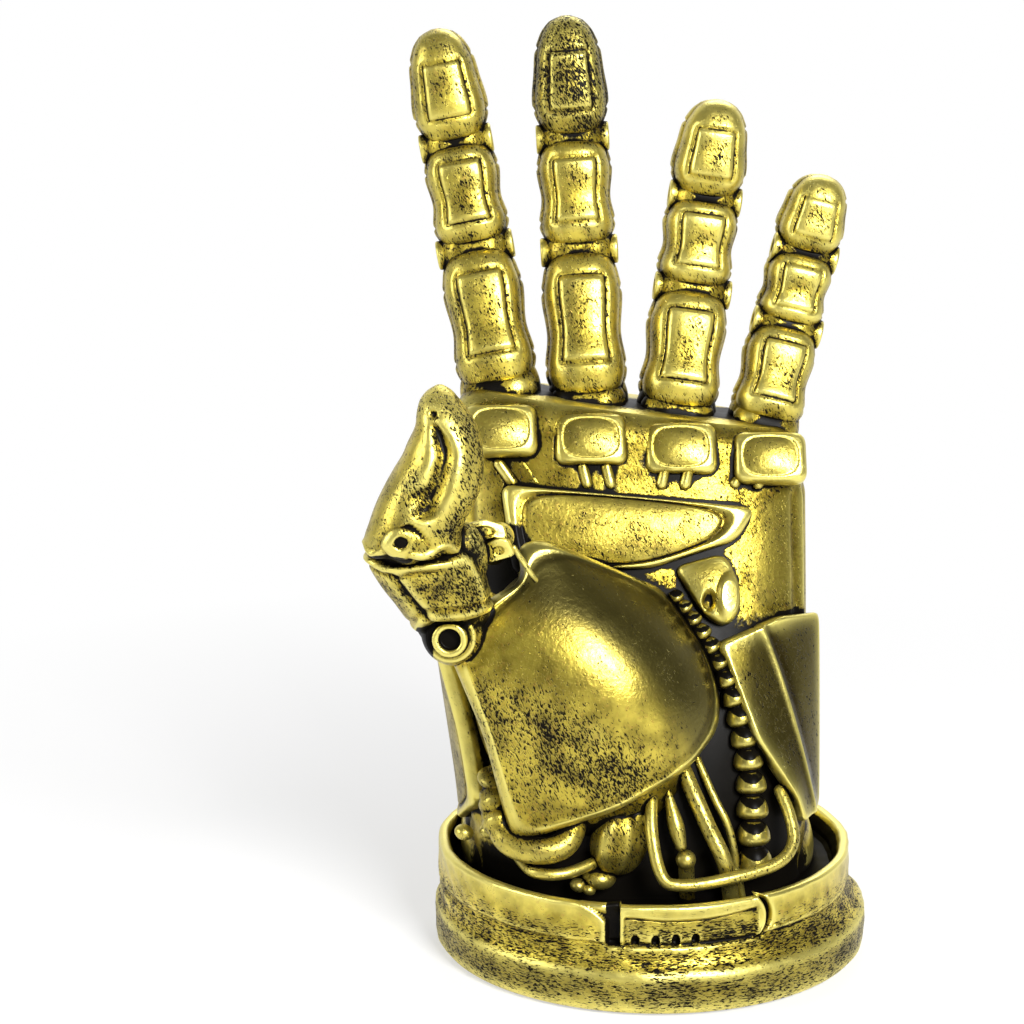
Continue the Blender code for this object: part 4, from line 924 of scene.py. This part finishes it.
def black_wash_and_shade_pools(points, normals):
    """Black wash and painted shade that pool beyond the hollows, by piece: smooth steps on distances from
    each place.

    Black wash lies in the dish and the collar's slot and over the thumb's pin ring. Painted shade is laid as
    black on the wrist's front below the guard, in the gap beside the thumb's link, under its hem, and, with
    wash, above and below the gold of each bead.
    """
    x, y, z = points.T
    from_axis = np.hypot(x - COLLAR_SHIFT, y)
    wall = 1.0 - ease(from_axis, COLLAR_RADIUS - 1.2, COLLAR_RADIUS - 0.85)
    wall = wall * (1.0 - ease(z, RIM - 1.2, RIM - 0.6))
    slot = within(along_band(points), -2.2, -1.8, -0.1, 0.2)
    slot = slot * ease(from_axis, COLLAR_RADIUS - 2.7, COLLAR_RADIUS - 2.4)
    # Painted shade: black in the deep gap behind the thumb's link and bracket, beside the guard.
    gap = 1.0 - ease(from_spot(points, (-23.0, -14.0, 62.5), (6.4, 18.0, 8.5)), 0.8, 1.0)
    # Painted shade: black on the wrist's front, which lies in shade below the guard.
    wrist = (1.0 - ease(z, 50.0, 58.0)) * ease(-normals[:, 1], 0.2, 0.6)
    wrist = wrist * np.maximum(ease(x, -25.0, -21.0), 1.0 - ease(z, 18.0, 21.0))

    ring = ring_centre()
    aside, over = x - ring[0], z - ring[2]
    from_ring = np.hypot(aside, over)
    arch = ease(y, ring[1] - 0.2, ring[1] + 0.5) * within(from_ring, 2.3, 2.6, 4.8, 5.4)
    arch = arch * np.maximum(ease(over - 0.25 * aside, 0.8, 1.6), ease(-aside, 2.2, 2.8))
    # The ring and its hole hold black wash; the other pools are painted shade in the gaps by the link, atop
    # it and under the tip's hem.
    thumb = [gap * ease(y, -25.5, -23.0), arch, 1.0 - ease(from_ring, 1.5, 1.7),
             1.0 - ease(from_spot(points, (-37.6, -38.2, 74.1), (0.95, 3.0, 0.9)), 0.9, 1.1),
             0.55 * (1.0 - ease(from_spot(points, (-28.2, -28.0, 71.5), (4.0, 7.0, 3.6)), 0.7, 1.1)),
             1.0 - ease(from_spot(points, (-39.3, -37.0, 70.8), (3.6, 5.0, 1.15)), 0.8, 1.05)]

    line, centres, radii = bead_route()
    line, travel = route(line)
    middles = np.stack([np.interp(centres, travel, line[:, axis]) for axis in (0, 2)], axis=1)
    nearest = np.argmin(np.abs(z[:, None] - middles[:, 1]), axis=1)
    above = (z - middles[nearest, 1]) / radii[nearest]
    # The gold on each bead is a cup: its lower border and its upper one both rise towards the sides. The
    # black above and below it is painted shade between the beads as well as wash.
    side = np.clip((x - middles[nearest, 0]) / radii[nearest], -1.0, 1.0) ** 2
    beads = 1.2 * np.maximum(ease(above - 0.5 * side, 0.05, 0.35), ease(0.35 * side - above, 0.76, 0.88))
    return {"round_base": np.maximum(wall, slot) * ease(z, 10.4, 10.8), "wrist_and_palm": wrist + gap,
            "palm_plates": gap * ease(y, -22.0, -19.0), "thumb": np.maximum.reduce(thumb), "beads": beads}


def brush_skips_and_painted_shade(points, normals):
    """How thickly the brush's dark dashes lie, by piece, and how thinly the gold lies, as thinner paint and
    painted shade, by piece.

    Most dashes lie on the thumb, on the guard's lower left and low on the collar. The thinly laid gold is
    painted shade on the guard past its ridge and on the outer panel, and partly painted shade on the beads
    and the foot.
    """
    x, _, z = points.T
    low_left = 1.0 - ease(np.hypot(x + 25.0, z - 25.0), 21.0, 28.5)
    # Painted shade: past this ridge the guard's gold is laid thinly, darkening its far side, which lies in
    # shade.
    shaded_past_ridge = ease(np.hypot(x + 25.0, z - 30.0), 27.0, 32.5)
    shade = np.hypot((x + 17.0) / 8.0, (z - 42.0) / 9.0)
    scuffs = np.hypot((x + 3.0) / 8.0, (z - 35.5) / 5.5)
    tip_patch = from_spot(points, (-35.4, -38.0, 80.8), (1.9, 4.0, 3.2))
    middle_tip = ease(z, 122.0, 130.0) * ease(-normals[:, 1], -0.3, 0.3)
    band = within(along_band(points), 0.0, 1.0, BAND_LENGTH - 1.5, BAND_LENGTH)
    band = band * ease(z, BAND_FOOT - 0.5, BAND_FOOT)
    low_down = 1.0 - ease(z, BAND_FOOT + 0.5, RIM - 2.0)
    grit = {"thumb_guard": (0.24 + (0.4 + 0.3 * ease(z, 28.0, 36.0)) * low_left
                            + 0.12 * bell(shade, 0.0, 0.9) + 0.6 * bell(scuffs, 0.0, 0.9)),
            "thumb": (0.65 + 0.75 * ease(normals[:, 0], 0.05, 0.8) + 1.6 * bell(tip_patch, 0.0, 0.8)
                      + 0.45 * bell(z, 65.0, 4.5) + 0.5 * ease(z, 88.0, 93.0)),
            "round_base": 0.25 + 0.75 * low_down + 0.35 * band + 0.25 * (1.0 - ease(z, 0.0, 4.0)),
            "middle_finger": 0.7 + 0.5 * middle_tip, "index_finger": 0.75, "ring_finger": 0.7,
            "little_finger": 0.7, "cables_and_rods": 0.75}
    # Thinly laid gold shows the black through as dark bronze: painted shade on the guard and the outer panel,
    # partly painted shade and partly thinner paint on the other pieces.
    thin_gold_and_shade = {"thumb_guard": shaded_past_ridge + 0.3 * bell(shade, 0.0, 1.0), "middle_finger": 0.5 * middle_tip,
            "palm_plates": 0.25 + 0.72 * ease(x, 12.0, 15.0) * (1.0 - ease(z, 56.0, 58.0)),
            "beads": 0.5, "cables_and_rods": 0.2, "wrist_and_palm": 0.3,
            "round_base": 0.58 * (1.0 - ease(z, FOOT_HEIGHT - 1.0, FOOT_HEIGHT)) + 0.3 * band}
    return grit, thin_gold_and_shade


def build_pieces():
    """All pieces of the casting as meshes, with the paint's values worked out over the whole of them."""
    groups = {"round_base": base_surface(), "wrist_and_palm": [core_surface(), cuff_surface()],
              "palm_plates": palm_surfaces(), "back_plates": back_surfaces(), "thumb": thumb_surfaces(),
              "thumb_guard": guard_surfaces(), "cables_and_rods": cable_surfaces(), "beads": [bead_surface()]}
    for index, title in enumerate(("index_finger", "middle_finger", "ring_finger", "little_finger")):
        groups[title] = finger_surfaces(index)
    skins = {title: merged(parts) for title, parts in groups.items()}
    points, faces = merged(list(skins.values()))
    normals, area = point_normals(points, faces)
    low, fields = solid_fields(points, faces, area, (0.55, 1.3, 4.0))
    fine, middle, broad = (sample(field, low, points + normals * 0.3) for field in fields)
    # The fine term is the black wash in creases; the middle and broad terms darken whole recesses, painted
    # shade as well as wash.
    hollow = ease(fine, 0.33, 0.48) * 0.9 + ease(middle, 0.42, 0.60) * 0.8 + ease(broad, 0.50, 0.66) * 0.8
    edge = ease(0.28 - fine, 0.0, 0.14) + 0.5 * ease(0.36 - middle, 0.0, 0.16)
    pools = black_wash_and_shade_pools(points, normals)
    grit, thin_gold_and_shade = brush_skips_and_painted_shade(points, normals)
    worn = {"cables_and_rods": 0.4, "beads": 0.5, "index_finger": 0.7, "middle_finger": 0.7}
    # One gold paint in two tones: the hand's deeper gold is painted shade and the base's lighter gold is
    # painted light on the collar; the dashes' slant differs too.
    hand_paint = antique_gold_paint("gold_brushed_slantwise_over_black", (0.3, -0.45, 0.0), (0.24, 0.4, 0.7),
                                    "#7C6C1C", "#C4B042")
    base_paint = antique_gold_paint("gold_brushed_level_over_black", (0.0, 0.0, 0.0), (0.75, 0.75, 0.21),
                                    "#8F7D22", "#D6C24E")
    start = 0
    for title, (own_points, own_faces) in skins.items():
        mesh = bpy.data.meshes.new(title)
        mesh.vertices.add(len(own_points))
        mesh.vertices.foreach_set("co", (own_points * MM).astype(np.float32).ravel())
        mesh.loops.add(own_faces.size)
        mesh.loops.foreach_set("vertex_index", own_faces.astype(np.int32).ravel())
        mesh.polygons.add(len(own_faces))
        mesh.polygons.foreach_set("loop_start", np.arange(0, own_faces.size, 3, dtype=np.int32))
        mesh.update(calc_edges=True)
        mesh.shade_smooth()
        own = slice(start, start + len(own_points))
        start = own.stop
        # The first value holds black wash and painted shade, the last thinly laid gold and painted shade.
        for name, values in (("wash_and_shade", hollow + pools.get(title, 0.0)), ("wear", edge * worn.get(title, 1.0)),
                             ("grit", grit.get(title, 0.5)), ("thin_gold_and_shade", thin_gold_and_shade.get(title, 0.0))):
            values = np.broadcast_to(values, len(points))[own]
            layer = mesh.attributes.new(name, "FLOAT", "POINT")
            layer.data.foreach_set("value", np.clip(values, 0.0, 1.2).astype(np.float32))
        piece = bpy.data.objects.new(title, mesh)
        bpy.context.scene.collection.objects.link(piece)
        piece.data.materials.append(base_paint if title == "round_base" else hand_paint)
        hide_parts("hand_stand")
        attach(piece, "root")


def seen_white(tree, mirrored):
    """1 for what the camera sees, directly or through glass, and a share of it for what gold mirrors."""
    rays = add(tree, "LightPath").node.outputs
    direct = add(tree, "Math", (rays["Is Camera Ray"], rays["Is Transmission Ray"]), operation="MAXIMUM")
    mirror = add(tree, "Math", (rays["Is Glossy Ray"], mirrored), operation="MULTIPLY")
    return add(tree, "Math", (direct, mirror), operation="MAXIMUM")


def white_room():
    """A dim room, with a white backdrop behind the object."""
    world = bpy.data.worlds.new("soft_studio")
    bpy.context.scene.world = world
    world.use_nodes = True
    tree = world.node_tree
    room = tree.nodes["Background"]
    room.inputs["Color"].default_value = linear("#FFFFFF")
    room.inputs["Strength"].default_value = 0.08
    white = add(tree, "Background", {"Color": linear("#FFFFFF"), "Strength": 1.0})
    toward = add(tree, "SeparateXYZ", (add(tree, "TexCoord", output="Generated"),), "Y")
    backdrop = add(tree, "MapRange", {"Value": toward, "From Min": 0.15, "From Max": 0.75},
                   interpolation_type="SMOOTHSTEP")
    mixed = add(tree, "MixShader", (seen_white(tree, backdrop), room.outputs[0], white))
    tree.links.new(mixed, tree.nodes["World Output"].inputs[0])


def paper_floor():
    """A matt white paper floor that is seen as white further out and keeps the shadow near the object."""
    half = 1.5
    mesh = bpy.data.meshes.new("floor")
    mesh.from_pydata([(-half, -half, 0), (half, -half, 0), (half, half, 0), (-half, half, 0)], [],
                     [(0, 1, 2, 3)])
    floor = bpy.data.objects.new("floor", mesh)
    bpy.context.scene.collection.objects.link(floor)
    floor.location.z = -0.0002
    pale = bpy.data.materials.new("matt_white_paper_floor")
    pale.use_nodes = True
    tree = pale.node_tree
    shader = tree.nodes["Principled BSDF"]
    shader.inputs["Base Color"].default_value = linear("#F2F2F2")
    shader.inputs["Roughness"].default_value = 0.9
    away = add(tree, "VectorMath", (add(tree, "TexCoord", output="Object"),), "Value", operation="LENGTH")
    glow_share = add(tree, "MapRange", {"Value": away, "From Min": 0.04, "From Max": 0.22, "To Min": 0.55})
    seen = add(tree, "Math", (seen_white(tree, 0.5), glow_share), operation="MULTIPLY")
    glow = add(tree, "Emission", {"Strength": 1.0})
    mixed = add(tree, "MixShader", (seen, shader.outputs[0], glow))
    tree.links.new(mixed, tree.nodes["Material Output"].inputs[0])
    floor.data.materials.append(pale)


def lamps_and_camera():
    """Three soft lamps, and the camera that stands where the photograph was taken from."""
    aim = Vector((-0.004, 0.0, 0.06))
    for title, place, size, power in (("key_softbox", (0.25, -0.58, 0.42), 0.24, 9.0),
                                      ("left_softbox", (-0.60, -0.20, 0.30), 0.35, 2.0),
                                      ("back_softbox", (0.10, 0.5, 0.55), 0.4, 2.0)):
        data = bpy.data.lights.new(title, "AREA")
        data.size = size
        data.energy = power
        lamp = bpy.data.objects.new(title, data)
        bpy.context.scene.collection.objects.link(lamp)
        lamp.location = place
        lamp.rotation_euler = (aim - Vector(place)).to_track_quat("-Z", "Y").to_euler()

    # The camera stands 450 mm off and looks down by 13.6 degrees, as the foot's ellipse shows.
    target = Vector((-0.0219, 0.0, 0.0691))
    pitch = math.radians(13.6)
    away = 0.450
    data = bpy.data.cameras.new("photo_camera")
    data.sensor_width = 36.0
    data.lens = 102.55
    camera = bpy.data.objects.new("photo_camera", data)
    bpy.context.scene.collection.objects.link(camera)
    camera.location = target + Vector((0.0, -away * math.cos(pitch), away * math.sin(pitch)))
    camera.rotation_euler = (target - camera.location).to_track_quat("-Z", "Y").to_euler()
    bpy.context.scene.camera = camera
    bpy.context.scene.view_settings.view_transform = "Standard"


build_pieces()
white_room()
paper_floor()
lamps_and_camera()
